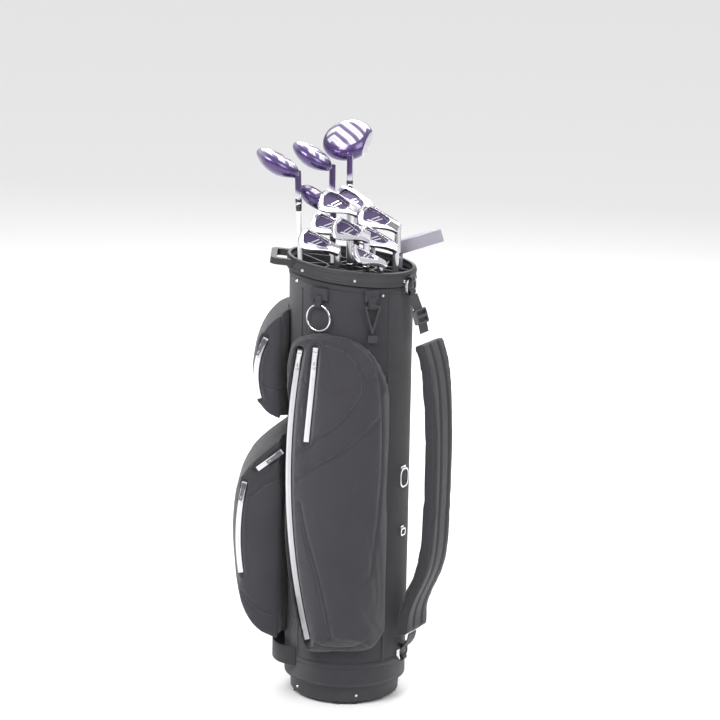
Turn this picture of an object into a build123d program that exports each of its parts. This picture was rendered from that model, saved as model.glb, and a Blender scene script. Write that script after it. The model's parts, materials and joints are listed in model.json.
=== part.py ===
"""Golf cart bag, standing upright, with a thirteen-club set in its divided top.

The origin is the centre of the bag's underside on the floor. +Z is up, -Y is the bag's front,
where the long apparel pocket is, -X is the ball pocket side and +X is the shoulder strap side.
All sizes are in millimetres.
"""
from math import cos, hypot, radians, sin, sqrt
import os

from build123d import *

os.makedirs("parts", exist_ok=True)

# ---------------------------------------------------------------- bag: overall sizes
TUBE_R = 125.0          # outside radius of the fabric-covered tube
TUBE_WALL = 2.5
RIM_Z = 905.0           # height of the rim plane on the tube's axis
RIM_TILT = 5.7          # degrees: the rim is higher on the ball pocket side
CUFF_HEIGHT = 28.0
CUFF_WALL = 5.0
CUFF_LIP = 6.0          # how far the cuff's top stands above the tube's end
FIT = 0.05              # clearance of pieces that slide together

# ---------------------------------------------------------------- bag: base
BASE_R = 111.0          # moulded base, smaller than the tube's hem
BASE_WALL = 4.0
BASE_HEIGHT = 46.0      # from the floor to the shoulder that carries the tube
BASE_SPIGOT = 34.0      # length of the collar inside the tube
FOOT_HEIGHT = 6.0
FOOT_SIZE = (43.0, 22.0)
FOOT_COUNT = 4
FLOOR_PAD = 16.0        # foam pad that the grips stand on
STAY_R = 2.5            # spring-steel stays down the inside of the tube
STAY_ANGLES = (110.0, 158.0, 200.0, 345.0)

# ---------------------------------------------------------------- clubs: common sizes
GRIP_R = 12.0           # radius at the butt cap
GRIP_TIP_R = 8.6
GRIP_LENGTH = 262.0
BUTT_R = 7.4            # shaft radius under the grip
WOOD_TIP_R = 4.4
IRON_TIP_R = 4.7
HOSEL_R = 6.7
FERRULE_LENGTH = 24.0
SOCKET_DEPTH = 28.0     # how far the shaft's tip enters the hosel
WELL_GAP = 2.0          # clearance round a grip in its well
WEB = 4.0               # thickness of the divider between two wells
RIM_WEB = 3.0
DIVIDER_DEPTH = 20.0
DIVIDER_DROP = 12.0     # the divider's top lies this far below the rim

TUBE_INNER = TUBE_R - TUBE_WALL
FLOOR_TOP = FOOT_HEIGHT + BASE_WALL + FLOOR_PAD
WELL_FIELD = TUBE_INNER - RIM_WEB - WELL_GAP - GRIP_R    # furthest that a shaft stands from the axis

FOOT_FIELD = BASE_R - BASE_WALL - 2 - GRIP_R             # furthest that a grip stands from the axis

# name, kind, shaft at the rim (share of WELL_FIELD), shift of the butt from the same share of
# FOOT_FIELD (mm), heading of the toe (degrees), length (mm), loft (degrees)
CLUBS = [
    ("driver", "wood", (-0.072, 0.94), (0, -6), 68, 1094, 11),
    ("fairway_wood_3", "wood", (-0.985, -0.056), (22, 0), 183, 1072, 15),
    ("fairway_wood_5", "wood", (-0.4, 0.91), (0, -12), 171, 1066, 18),
    ("hybrid", "wood", (-0.369, 0.375), (0, 0), 182, 993, 22),
    ("iron_5", "iron", (0.08, 0.121), (0, 0), 193, 987, 26),
    ("iron_6", "iron", (0.398, 0.441), (0, 0), 158, 980, 29),
    ("iron_7", "iron", (0.27, -0.728), (0, 0), 203, 950, 33),
    ("iron_8", "iron", (0.856, 0.054), (0, 0), 180, 954, 37),
    ("iron_9", "iron", (-0.037, -0.321), (0, 0), 180, 946, 41),
    ("pitching_wedge", "iron", (-0.274, -0.685), (0, 0), 185, 920, 45),
    ("gap_wedge", "iron", (0.828, -0.279), (0, 0), 178, 918, 50),
    ("sand_wedge", "iron", (0.539, -0.835), (0, 0), 210, 897, 55),
    ("putter", "putter", (0.909, 0.366), (0, 0), -1, 912, 4),
]
SPARE_WELL = (-0.78, -0.52)     # the fourteenth well stands empty
LIE = {"wood": 58.0, "iron": 61.0, "putter": 71.0}
# heel-to-toe length, face-to-back depth, height and hosel length of each wooden-type head
WOOD_SIZES = {
    "driver": (112.0, 98.0, 58.0, 74.0),
    "fairway_wood_3": (96.0, 74.0, 38.0, 72.0),
    "fairway_wood_5": (92.0, 70.0, 37.0, 70.0),
    "hybrid": (84.0, 50.0, 34.0, 66.0),
}
IRON_HOSEL = 62.0
PUTTER_HOSEL = 58.0


def write(builder, label):
    """Label a finished piece and write its STEP file."""
    builder.part.label = label
    export_step(builder.part, f"parts/{label}.step")


def rim_plane(drop=0.0):
    """The tilted plane of the rim, lowered along the tube's axis."""
    tilt = radians(RIM_TILT)
    along = (cos(tilt), 0, -sin(tilt))
    up = (sin(tilt), 0, cos(tilt))
    return Plane(origin=(0, 0, RIM_Z - drop), x_dir=along, z_dir=up)


def rim_height(x, drop=0.0):
    """Height of the tilted rim plane over a place on the X axis."""
    return RIM_Z - drop - x * sin(radians(RIM_TILT)) / cos(radians(RIM_TILT))


def radial(angle, radius=0.0, height=0.0):
    """A plane whose x points outwards at this azimuth and whose y points up."""
    out = Vector(cos(radians(angle)), sin(radians(angle)), 0)
    return Plane(origin=out * radius + Vector(0, 0, height), x_dir=out, z_dir=out.cross(Vector(0, 0, 1)))


# ---------------------------------------------------------------- bag: base, tube and rim
CUFF_OUTER = TUBE_R + CUFF_WALL
COVER = 2 * RIM_Z                # longer than any cut needs to be


def make_base():
    """Moulded cup: a floor, a wall, a shoulder for the tube and a collar inside it."""
    collar = TUBE_INNER - FIT
    with BuildPart() as base_cup:
        with BuildSketch(Plane.XZ):
            with BuildLine():
                Polyline(
                    (0, FOOT_HEIGHT),
                    (BASE_R - 4, FOOT_HEIGHT),
                    (BASE_R, FOOT_HEIGHT + 4),
                    (BASE_R + 1, BASE_HEIGHT - 9),
                    (TUBE_R - 1, BASE_HEIGHT - 3),
                    (TUBE_R - 1, BASE_HEIGHT),
                    (collar, BASE_HEIGHT),
                    (collar, BASE_HEIGHT + BASE_SPIGOT),
                    (collar - BASE_WALL, BASE_HEIGHT + BASE_SPIGOT),
                    (collar - BASE_WALL, BASE_HEIGHT),
                    (BASE_R + 1 - BASE_WALL, BASE_HEIGHT - 9),
                    (BASE_R - BASE_WALL, FOOT_HEIGHT + BASE_WALL),
                    (0, FOOT_HEIGHT + BASE_WALL),
                    close=True,
                )
            make_face()
        revolve(axis=Axis.Z)
    write(base_cup, "base_cup")

    with BuildPart() as base_feet:
        with PolarLocations(BASE_R - 6 - FOOT_SIZE[1] / 2, FOOT_COUNT, start_angle=-87):
            Box(FOOT_SIZE[1], FOOT_SIZE[0], FOOT_HEIGHT, align=(Align.CENTER, Align.CENTER, Align.MIN))
        chamfer(base_feet.faces().sort_by(Axis.Z)[0:FOOT_COUNT].edges(), 1.2)
        Cylinder(22, FOOT_HEIGHT, align=(Align.CENTER, Align.CENTER, Align.MIN))
    write(base_feet, "base_feet")

    with BuildPart() as floor_pad:
        with BuildSketch(Plane.XY.offset(FOOT_HEIGHT + BASE_WALL)):
            Circle(BASE_R - BASE_WALL - 1)
        extrude(amount=FLOOR_PAD)
    write(floor_pad, "floor_pad")
    return base_cup.part


def make_tube():
    """Fabric-covered tube, its stays, the moulded cuff and the divider with its wells."""
    with BuildPart() as bag_body:
        with BuildSketch(Plane.XY.offset(BASE_HEIGHT)):
            Circle(TUBE_R)
            Circle(TUBE_INNER, mode=Mode.SUBTRACT)
        extrude(amount=RIM_Z)
        split(bisect_by=rim_plane(CUFF_LIP), keep=Keep.BOTTOM)
    write(bag_body, "bag_body")

    with BuildPart() as stay_rods:
        for angle in STAY_ANGLES:
            spot = radial(angle, TUBE_INNER - BASE_WALL - STAY_R - 2 * FIT).origin
            top = rim_height(spot.X, DIVIDER_DROP + DIVIDER_DEPTH) - 2
            with BuildSketch(Plane.XY.offset(BASE_HEIGHT + 1)):
                with Locations((spot.X, spot.Y)):
                    Circle(STAY_R)
            extrude(amount=top - BASE_HEIGHT - 1)
    write(stay_rods, "stay_rods")

    with BuildPart() as seat:
        with BuildSketch(Plane.XY.offset(RIM_Z - 3 * CUFF_HEIGHT)):
            Circle(TUBE_R + FIT)
        extrude(amount=6 * CUFF_HEIGHT)
        split(bisect_by=rim_plane(CUFF_LIP), keep=Keep.BOTTOM)

    with BuildPart() as top_cuff:
        with BuildSketch(Plane.XY.offset(RIM_Z - 3 * CUFF_HEIGHT)):
            Circle(CUFF_OUTER)
            Circle(TUBE_INNER, mode=Mode.SUBTRACT)
        extrude(amount=6 * CUFF_HEIGHT)
        split(bisect_by=rim_plane(CUFF_HEIGHT), keep=Keep.TOP)
        split(bisect_by=rim_plane(), keep=Keep.BOTTOM)
        fillet(top_cuff.edges().group_by(Axis.Z)[-1], 2)
        add(seat.part, mode=Mode.SUBTRACT)
    write(top_cuff, "top_cuff")
    return bag_body.part, top_cuff.part


# ---------------------------------------------------------------- bag: the divided top
def spot_of(share):
    """A place in the rim's plane from its share of the well field."""
    return share[0] * WELL_FIELD, share[1] * WELL_FIELD


def clip_half(points, centre, other, inset):
    """Keep the side of a polygon nearer to centre than to other, less an inset."""
    dx, dy = other[0] - centre[0], other[1] - centre[1]
    span = hypot(dx, dy)
    dx, dy = dx / span, dy / span
    limit = span / 2 - inset
    kept = []
    for (ax, ay), (bx, by) in zip(points, points[1:] + points[:1]):
        a = (ax - centre[0]) * dx + (ay - centre[1]) * dy - limit
        b = (bx - centre[0]) * dx + (by - centre[1]) * dy - limit
        if a <= 0:
            kept.append((ax, ay))
        if a * b < 0:
            share = a / (a - b)
            kept.append((ax + share * (bx - ax), ay + share * (by - ay)))
    return kept


def make_divider():
    """Moulded plate with fourteen wells, each the cell nearest to its own shaft."""
    shafts = [spot_of(club[2]) for club in CLUBS] + [spot_of(SPARE_WELL)]
    reach = TUBE_INNER
    square = [(-reach, -reach), (reach, -reach), (reach, reach), (-reach, reach)]
    least = GRIP_R + WELL_GAP
    with BuildPart() as club_divider:
        with BuildSketch(Plane.XY.offset(RIM_Z - 3 * CUFF_HEIGHT)):
            Circle(TUBE_INNER - FIT)
        extrude(amount=6 * CUFF_HEIGHT)
        split(bisect_by=rim_plane(DIVIDER_DROP + DIVIDER_DEPTH), keep=Keep.TOP)
        split(bisect_by=rim_plane(DIVIDER_DROP), keep=Keep.BOTTOM)
        for centre in shafts:
            cell = square
            for other in shafts:
                if other != centre:
                    cell = clip_half(cell, centre, other, WEB / 2)
            with BuildSketch(Plane.XY.offset(RIM_Z - 3 * CUFF_HEIGHT)):
                with BuildLine():
                    Polyline(*cell, close=True)
                make_face()
                Circle(TUBE_INNER - FIT - RIM_WEB, mode=Mode.INTERSECT)
                with Locations(centre):
                    Circle(least)
            extrude(amount=6 * CUFF_HEIGHT, mode=Mode.SUBTRACT)
    write(club_divider, "club_divider")


# ---------------------------------------------------------------- clubs
def club_frame(club):
    """The shaft's axis, its butt and the plane of the sole, with x to the toe and y to the back."""
    name, kind, share, shift, heading, length, loft = club
    x, y = spot_of(share)
    rim = Vector(x, y, RIM_Z)
    foot = Vector(share[0] * FOOT_FIELD + shift[0], share[1] * FOOT_FIELD + shift[1], FLOOR_TOP)
    axis = (rim - foot).normalized()
    cap = GRIP_R * sqrt(1 - axis.Z**2)       # a leaning butt cap stands on its lower edge
    foot = foot + Vector(0, 0, cap + FIT)
    toe = Vector(cos(radians(heading)), sin(radians(heading)), 0)
    toe = (toe - axis * toe.dot(axis)).normalized()
    rise = radians(90 - LIE[kind])
    along = toe * cos(rise) + axis * sin(rise)
    out = axis * cos(rise) - toe * sin(rise)
    return axis, foot, Plane(origin=foot + axis * length, x_dir=along, z_dir=out)


def turned(axis, foot, points):
    """Revolve a closed outline of (radius, distance from the butt) about a club's axis."""
    side = axis.cross(Vector(0, 1, 0)).normalized()
    with BuildPart() as piece:
        with BuildSketch(Plane(origin=foot, x_dir=side, z_dir=side.cross(axis))):
            with BuildLine():
                Polyline(*points, close=True)
            make_face()
        revolve(axis=Axis(foot, axis))
    return piece.part


def hosel_length(club):
    """Length of a head's hosel below its sole."""
    name, kind = club[:2]
    if kind == "wood":
        return WOOD_SIZES[name][3]
    return IRON_HOSEL if kind == "iron" else PUTTER_HOSEL


def make_shaft(club):
    """Shaft, grip and ferrule of one club: three solids that ride together."""
    name, kind, share, shift, heading, length, loft = club
    axis, foot, sole = club_frame(club)
    tip_r = WOOD_TIP_R if kind == "wood" else IRON_TIP_R
    seat = length - hosel_length(club)
    tip = seat + SOCKET_DEPTH - 1
    bore = BUTT_R + FIT
    taper = 120.0
    core = [
        (0, 4),
        (BUTT_R, 4),
        (BUTT_R, GRIP_LENGTH + taper),
        (tip_r, tip - taper),
        (tip_r, tip),
        (0, tip),
    ]
    grip = [
        (0, 0),
        (GRIP_R - 2, 0),
        (GRIP_R, 2),
        (GRIP_R, 5),
        (GRIP_R - 0.8, 7),
        (GRIP_TIP_R, GRIP_LENGTH),
        (bore, GRIP_LENGTH),
        (bore, 4 - FIT),
        (0, 4 - FIT),
    ]
    ferrule = [
        (tip_r + FIT, seat - FERRULE_LENGTH),
        (tip_r + 0.6, seat - FERRULE_LENGTH),
        (HOSEL_R - 0.4, seat - FERRULE_LENGTH / 3),
        (HOSEL_R, seat - FIT),
        (tip_r + FIT, seat - FIT),
    ]
    pieces = [turned(axis, foot, outline) for outline in (core, grip, ferrule)]
    with BuildPart() as shaft:
        add(pieces)
    write(shaft, f"{name}_shaft")


def hosel(club, axis, sole, depth):
    """The hosel's rod, from its open end up into the head, and the socket for the shaft's tip."""
    tip_r = WOOD_TIP_R if club[1] == "wood" else IRON_TIP_R
    end = Plane(origin=sole.origin - axis * hosel_length(club), z_dir=axis)
    with BuildPart() as rod:
        with BuildSketch(end):
            Circle(HOSEL_R)
        extrude(amount=depth)
    with BuildPart() as socket:
        with BuildSketch(end):
            Circle(tip_r + FIT)
        extrude(amount=SOCKET_DEPTH)
    return rod.part, socket.part


# share of the height below the sole, then shares of the length and of the depth there
WOOD_LAYERS = [
    (0.0, 0.46, 0.46),
    (0.16, 0.84, 0.84),
    (0.42, 1.0, 1.0),
    (0.74, 0.84, 0.86),
    (1.0, 0.40, 0.42),
]


def make_wood(club):
    """Rounded head, a smooth loft from the sole down to the crown, cut flat at the face."""
    name = club[0]
    axis, foot, sole = club_frame(club)
    reach, depth, height, neck = WOOD_SIZES[name]
    centre_x = reach / 2 - 0.12 * reach
    centre_y = depth / 2 - 0.24 * depth
    lean = radians(club[6])
    face = Plane(
        origin=sole.from_local_coords((centre_x, -0.24 * depth, 0)),
        x_dir=sole.x_dir,
        z_dir=sole.y_dir * cos(lean) + sole.z_dir * sin(lean),
    )
    rod, socket = hosel(club, axis, sole, neck - 0.35 * height)
    with BuildPart() as head:
        for low, wide, deep in WOOD_LAYERS:
            spot = sole.from_local_coords((centre_x, centre_y, -height * low))
            with BuildSketch(Plane(origin=spot, x_dir=sole.x_dir, z_dir=sole.z_dir)):
                Ellipse(reach / 2 * wide, 0.53 * depth * deep)
        loft()
        split(bisect_by=face, keep=Keep.TOP)
        add(rod)
        add(socket, mode=Mode.SUBTRACT)
    write(head, f"{name}_head")


# blade outline in the plane of the face: x to the toe, y from the sole to the topline
IRON_LENGTH = 78.0
IRON_TOE_HEIGHT = 52.0
IRON_SOLE_WIDTH = 21.0
IRON_TOPLINE = 5.5
IRON_CAVITY = ((15, 13), (44, 7), (66, 11), (72, 25), (65, 41), (22, 26))
FACE_AHEAD = 6.5        # the leading edge lies this far ahead of the shaft's axis
FACE_WALL = 3.5


def make_iron(club):
    """Cavity-backed blade with a hosel."""
    name, loft = club[0], radians(club[6])
    axis, foot, sole = club_frame(club)
    back = sole.y_dir * cos(loft) + sole.z_dir * sin(loft)
    face = Plane(origin=sole.from_local_coords((0, -FACE_AHEAD, 0)), x_dir=sole.x_dir, z_dir=back)
    section = Plane(origin=face.origin, x_dir=face.y_dir, z_dir=face.x_dir)
    tall = IRON_TOE_HEIGHT
    rod, socket = hosel(club, axis, sole, IRON_HOSEL - 3)
    with BuildPart() as head:
        with BuildSketch(face):
            with BuildLine():
                Line((-9, 27), (-3, 9))
                Spline((-3, 9), (6, 1.5), (36, -1), (62, 1), (IRON_LENGTH - 4, 9), (IRON_LENGTH, tall * 0.45),
                       (IRON_LENGTH - 3, tall * 0.82), (IRON_LENGTH - 12, tall))
                Spline((IRON_LENGTH - 12, tall), (IRON_LENGTH - 24, tall - 3), (14, 31), (-9, 27))
            make_face()
        extrude(amount=40)
        with BuildSketch(section):
            with BuildLine():
                Polyline(
                    (-2, 0),
                    (IRON_SOLE_WIDTH * sin(loft) - 2, IRON_SOLE_WIDTH * cos(loft)),
                    (IRON_SOLE_WIDTH * sin(loft) + 3, IRON_SOLE_WIDTH * cos(loft) - 1),
                    (IRON_SOLE_WIDTH * sin(loft) + 12, IRON_TOPLINE + 5),
                    (tall, IRON_TOPLINE),
                    (tall + 20, IRON_TOPLINE),
                    (tall + 20, 0),
                    close=True,
                )
            make_face()
        extrude(amount=IRON_LENGTH + 40, both=True, mode=Mode.INTERSECT)
        with BuildSketch(face.offset(FACE_WALL)):
            with BuildLine():
                Polyline(*IRON_CAVITY, close=True)
            make_face()
            fillet(vertices(), 5)
        extrude(amount=40, mode=Mode.SUBTRACT)
        add(rod)
        add(socket, mode=Mode.SUBTRACT)
    write(head, f"{name}_head")


PUTTER_BLADE = (92.0, 27.0)
PUTTER_SOLE_WIDTH = 24.0


def make_putter(club):
    """Heel-shafted mallet-blade with a flat face, and a neck that bends to its heel."""
    axis, foot, sole = club_frame(club)
    length, height = PUTTER_BLADE
    rod, socket = hosel(club, axis, sole, PUTTER_HOSEL - 4)
    with BuildPart() as head:
        with BuildSketch(Plane(origin=sole.origin, x_dir=sole.x_dir, z_dir=sole.z_dir)):
            with BuildLine():
                Polyline((-8, -11), (length - 8, -11), (length - 8, 2))
                Spline((length - 8, 2), (length - 24, 9), (length / 2 - 8, PUTTER_SOLE_WIDTH - 11), (8, 9), (-8, 2))
                Line((-8, 2), (-8, -11))
            make_face()
        extrude(amount=-height)
        fillet(head.edges().filter_by(GeomType.LINE), 1.5)
        add(rod)
        add(socket, mode=Mode.SUBTRACT)
    write(head, f"{club[0]}_head")


# ---------------------------------------------------------------- bag: pockets
# The outlines are closed curves through a few (x, z), (x, y) or (y, z) points of each pocket.
APPAREL_FRONT = (
    (-80, 122), (-114, 262), (-125, 430), (-118, 610), (-104, 762), (-62, 778), (10, 768),
    (48, 738), (76, 680), (81, 420), (77, 150), (40, 120), (-20, 116),
)
APPAREL_PLAN = (
    (-122, -44), (-129, -102), (-108, -126), (-64, -154), (0, -172), (50, -160), (78, -128),
    (82, -90), (0, -60),
)
APPAREL_SIDE = (
    (-60, 104), (-124, 116), (-166, 150), (-174, 300), (-174, 560), (-160, 690), (-128, 782),
    (-60, 800),
)
UPPER_FRONT = (
    (-90, 812), (-150, 800), (-182, 758), (-197, 700), (-195, 650), (-176, 612), (-130, 586),
    (-90, 582),
)
UPPER_PLAN = (
    (-60, -84), (-130, -85), (-180, -78), (-199, -30), (-199, 30), (-180, 78), (-130, 85),
    (-60, 84),
)
BALL_FRONT = (
    (-90, 572), (-130, 557), (-178, 520), (-212, 482), (-229, 430), (-231, 340), (-222, 236),
    (-184, 158), (-90, 128),
)
BALL_PLAN = (
    (-60, -96), (-150, -98), (-212, -91), (-231, -36), (-231, 36), (-212, 91), (-150, 98),
    (-60, 96),
)


def slab(plane, points, amount, both=False):
    """A solid of one thickness from a closed smooth outline."""
    with BuildPart() as piece:
        with BuildSketch(plane):
            with BuildLine():
                Spline(*points, periodic=True)
            make_face()
        extrude(amount=amount, both=both)
    return piece.part


def band(plane, path, width, amount):
    """A strip of one width on a plane, along a line or arc of three points."""
    with BuildPart() as piece:
        with BuildSketch(plane):
            with BuildLine():
                if len(path) == 3:
                    ThreePointArc(*path)
                else:
                    Line(*path)
            trace(line_width=width)
        extrude(amount=amount)
    return piece.part


def front_plane(depth):
    """The upright plane y = -depth, seen from the front: x to the right, y up, z to the front."""
    return Plane(origin=(0, -depth, 0), x_dir=(1, 0, 0), z_dir=(0, -1, 0))


TAPE_WIDTH = 10.0
TAPE_THICK = 1.6
SLIDER = (9.0, 13.0, 4.0)       # width, length and height of a zip slider
PULL = (7.0, 30.0, 2.4)
RUN_GAP = 0.3           # air between a moving piece and soft or curved neighbours
ZIP_END = 2.0           # a slider stops this far from the end of its tape
# name, depth of the plane it lies in, its path as (x, z) points from the closed end to the open end
ZIPS = [
    ("apparel_zip", 106.0, ((-99, 742), (-118, 430), (-76, 138))),
    ("valuables_zip", 138.0, ((-68, 752), (-84, 560))),
    ("upper_zip", 77.0, ((-168, 756), (-187, 690), (-180, 632))),
    ("ball_zip", 90.0, ((-207, 462), (-219, 370), (-213, 272))),
    ("ball_top_zip", 93.0, ((-132, 528), (-182, 490))),
]


FREE_PULLS = ("apparel_zip", "valuables_zip")     # the pulls of the side zips are short cords


def rebate(zip_row):
    """The room that a tape, its slider and its pull take out of the pocket in front of them."""
    name, depth, path = zip_row
    return band(front_plane(depth - TAPE_THICK), path, TAPE_WIDTH + 3, 120)


def make_pockets():
    """Three padded pockets, each where its front, plan and side outlines meet."""
    with BuildPart() as tube:
        with BuildSketch(Plane.XY):
            Circle(TUBE_R)
        extrude(amount=COVER)

    with BuildPart() as apparel_pocket:
        add(slab(Plane.XZ, APPAREL_FRONT, COVER))
        add(slab(Plane.XY, APPAREL_PLAN, COVER), mode=Mode.INTERSECT)
        add(slab(Plane.YZ, APPAREL_SIDE, COVER, both=True), mode=Mode.INTERSECT)
        add(tube.part, mode=Mode.SUBTRACT)
        for zip_row in ZIPS[:2]:
            add(rebate(zip_row), mode=Mode.SUBTRACT)
    write(apparel_pocket, "apparel_pocket")

    roomy = 1 + RUN_GAP / TUBE_R
    apparel_room = slab(Plane.XY, [(x * roomy, y * roomy) for x, y in APPAREL_PLAN], COVER)

    with BuildPart() as upper_pocket:
        add(slab(Plane.XZ, UPPER_FRONT, COVER, both=True))
        add(slab(Plane.XY, UPPER_PLAN, COVER), mode=Mode.INTERSECT)
        add(tube.part, mode=Mode.SUBTRACT)
        add(apparel_room, mode=Mode.SUBTRACT)
        add(rebate(ZIPS[2]), mode=Mode.SUBTRACT)
    write(upper_pocket, "upper_pocket")

    with BuildPart() as ball_pocket:
        add(slab(Plane.XZ, BALL_FRONT, COVER, both=True))
        add(slab(Plane.XY, BALL_PLAN, COVER), mode=Mode.INTERSECT)
        add(tube.part, mode=Mode.SUBTRACT)
        add(apparel_room, mode=Mode.SUBTRACT)
        for zip_row in ZIPS[3:]:
            add(rebate(zip_row), mode=Mode.SUBTRACT)
    write(ball_pocket, "ball_pocket")


def path_frame(zip_row):
    """A plane at the closed end of a zip, with y along its path and z out of the tape."""
    name, depth, path = zip_row
    with BuildLine(front_plane(depth)) as rail:
        if len(path) == 3:
            ThreePointArc(*path)
        else:
            Line(*path)
    along = rail.line % 0
    out = Vector(0, -1, 0)
    return Plane(origin=rail.line @ 0, x_dir=along.cross(out), z_dir=out)


def make_zips():
    """Tape, slider and pull tab of each zip. The pull turns about a pin line over its slider."""
    wide, long, tall = SLIDER
    for zip_row in ZIPS:
        name, depth, path = zip_row
        seat = path_frame(zip_row)
        with BuildPart() as tape:
            add(band(front_plane(depth - TAPE_THICK), path, TAPE_WIDTH, TAPE_THICK))
        write(tape, f"{name}_tape")

        with BuildPart() as slider:
            with BuildSketch(seat.offset(RUN_GAP)):
                with Locations((0, ZIP_END + long / 2)):
                    RectangleRounded(wide, long, 2)
            extrude(amount=tall - RUN_GAP)
            with BuildSketch(seat.offset(tall)):
                for side in (-1, 1):
                    with Locations((side * (wide / 2 - 0.35), ZIP_END + long / 2)):
                        Rectangle(0.7, 4)
            extrude(amount=PULL[2] + 2 * RUN_GAP)
        with BuildPart() as pull:
            with BuildSketch(seat.offset(tall + RUN_GAP)):
                with Locations((0, ZIP_END + long / 2 - 0.8)):
                    Rectangle(PULL[0], PULL[1], align=(Align.CENTER, Align.MIN))
                with Locations((0, ZIP_END + long / 2 + PULL[1] - 7)):
                    SlotOverall(8, 2.6, rotation=90, mode=Mode.SUBTRACT)
            extrude(amount=PULL[2])
            fillet(pull.edges().filter_by(Axis.Y).sort_by(Axis.Z)[:2], 2)
        if name in FREE_PULLS:
            write(slider, f"{name}_slider")
            write(pull, f"{name}_pull")
        else:
            with BuildPart() as slider_and_pull:
                add([slider.part, pull.part])
            write(slider_and_pull, f"{name}_slider")


# ---------------------------------------------------------------- bag: handles, rings and strap
HANDLE_REACH = 34.0
HANDLE_THICK = 13.0
HANDLE_SPAN = 112.0
HANDLE_BAR = 12.0


def make_handles():
    """Moulded grab handle on the rim and a webbing lift handle low on the same side."""
    tilt = rim_plane(HANDLE_THICK + 5)
    with BuildPart() as cuff_outside:
        with BuildSketch(Plane.XY):
            Circle(CUFF_OUTER)
        extrude(amount=COVER)
    reach = CUFF_OUTER + HANDLE_REACH
    with BuildPart() as cuff_handle:
        with BuildSketch(tilt):
            with Locations((-reach / 2, 0)):
                RectangleRounded(reach, HANDLE_SPAN, 16)
            with Locations((-(reach - HANDLE_BAR) / 2, 0)):
                RectangleRounded(reach - HANDLE_BAR, HANDLE_SPAN - 2 * HANDLE_BAR, 8, mode=Mode.SUBTRACT)
        extrude(amount=HANDLE_THICK)
        add(cuff_outside.part, mode=Mode.SUBTRACT)
    write(cuff_handle, "cuff_handle")

    middle = radial(LOW_HANDLE_ANGLE)
    ends = [radial(LOW_HANDLE_ANGLE + turn).x_dir * (TUBE_R + LOW_HANDLE_THICK / 2) for turn in (-28, 28)]
    reach = TUBE_R + LOW_HANDLE_REACH - 4
    shoulders = [radial(LOW_HANDLE_ANGLE + turn).x_dir * reach for turn in (-15, 15)]
    crown = middle.x_dir * (TUBE_R + LOW_HANDLE_REACH)
    route = [ends[0], shoulders[0], crown, shoulders[1], ends[1]]
    with BuildPart() as tube:
        with BuildSketch(Plane.XY):
            Circle(TUBE_R)
        extrude(amount=COVER)
    with BuildPart() as lower_handle:
        with BuildSketch(Plane.XY.offset(LOW_HANDLE_Z)):
            with BuildLine():
                Spline(*[(spot.X, spot.Y) for spot in route])
            trace(line_width=LOW_HANDLE_THICK)
        extrude(amount=LOW_HANDLE_WIDTH)
        add(tube.part, mode=Mode.SUBTRACT)
    write(lower_handle, "lower_handle")


LOW_HANDLE_ANGLE = 190.0
LOW_HANDLE_REACH = 24.0
LOW_HANDLE_THICK = 3.0
LOW_HANDLE_WIDTH = 38.0
LOW_HANDLE_Z = 74.0

WEBBING = 2.0           # thickness of every webbing band
RING_WIRE = 3.6
RING_OUTER = 56.0
TOWEL_ANGLE = 241.0
CLIP_ANGLE = 289.0
BAND_TOP = 866.0
BAND_BOTTOM = 834.0


def hang_plane(angle):
    """A plane against the tube at this azimuth: x along the tube's side, y up, z outwards."""
    out = Vector(cos(radians(angle)), sin(radians(angle)), 0)
    return Plane(origin=out * TUBE_R, x_dir=Vector(0, 0, 1).cross(out), z_dir=out)


RING_STANDOFF = 7.0     # from the tube to the middle of a hanging ring's wire
FOLD = RING_WIRE / 2 + 1.6      # inside radius of the webbing round a ring's wire
NECK = 14.0             # width of the webbing where it folds round a ring
TRIANGLE = (36.0, 62.0, 4.4)    # width, height and bar of the triangular loop
CLIP = (20.0, 15.0, 6.0)


def tube_solid():
    """The tube's outside, to trim what is sewn to it."""
    with BuildPart() as tube:
        with BuildSketch(Plane.XY):
            Circle(TUBE_R)
        extrude(amount=COVER)
    return tube.part


def hanger(angle, width):
    """A flat webbing band sewn to the tube, narrowed at its foot to a fold that holds a ring."""
    side = hang_plane(angle)
    across = Plane(origin=side.origin, x_dir=side.z_dir, z_dir=-side.x_dir)
    foot = BAND_BOTTOM + FOLD
    with BuildPart() as piece:
        with BuildSketch(across):
            with Locations((0, (BAND_TOP + foot + 6) / 2)):
                Rectangle(2 * WEBBING + 8, BAND_TOP - foot - 6)
        extrude(amount=width / 2, both=True)
        with BuildSketch(across):
            with Locations((RING_STANDOFF, BAND_BOTTOM)):
                Circle(FOLD + WEBBING)
            with Locations((RING_STANDOFF / 2, foot + 6)):
                Rectangle(RING_STANDOFF + 2 * WEBBING, 18)
        extrude(amount=NECK / 2, both=True)
        with BuildSketch(across):
            with Locations((RING_STANDOFF, BAND_BOTTOM)):
                Circle(FOLD)
        extrude(amount=width, both=True, mode=Mode.SUBTRACT)
        add(tube_solid(), mode=Mode.SUBTRACT)
    return piece.part


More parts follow.
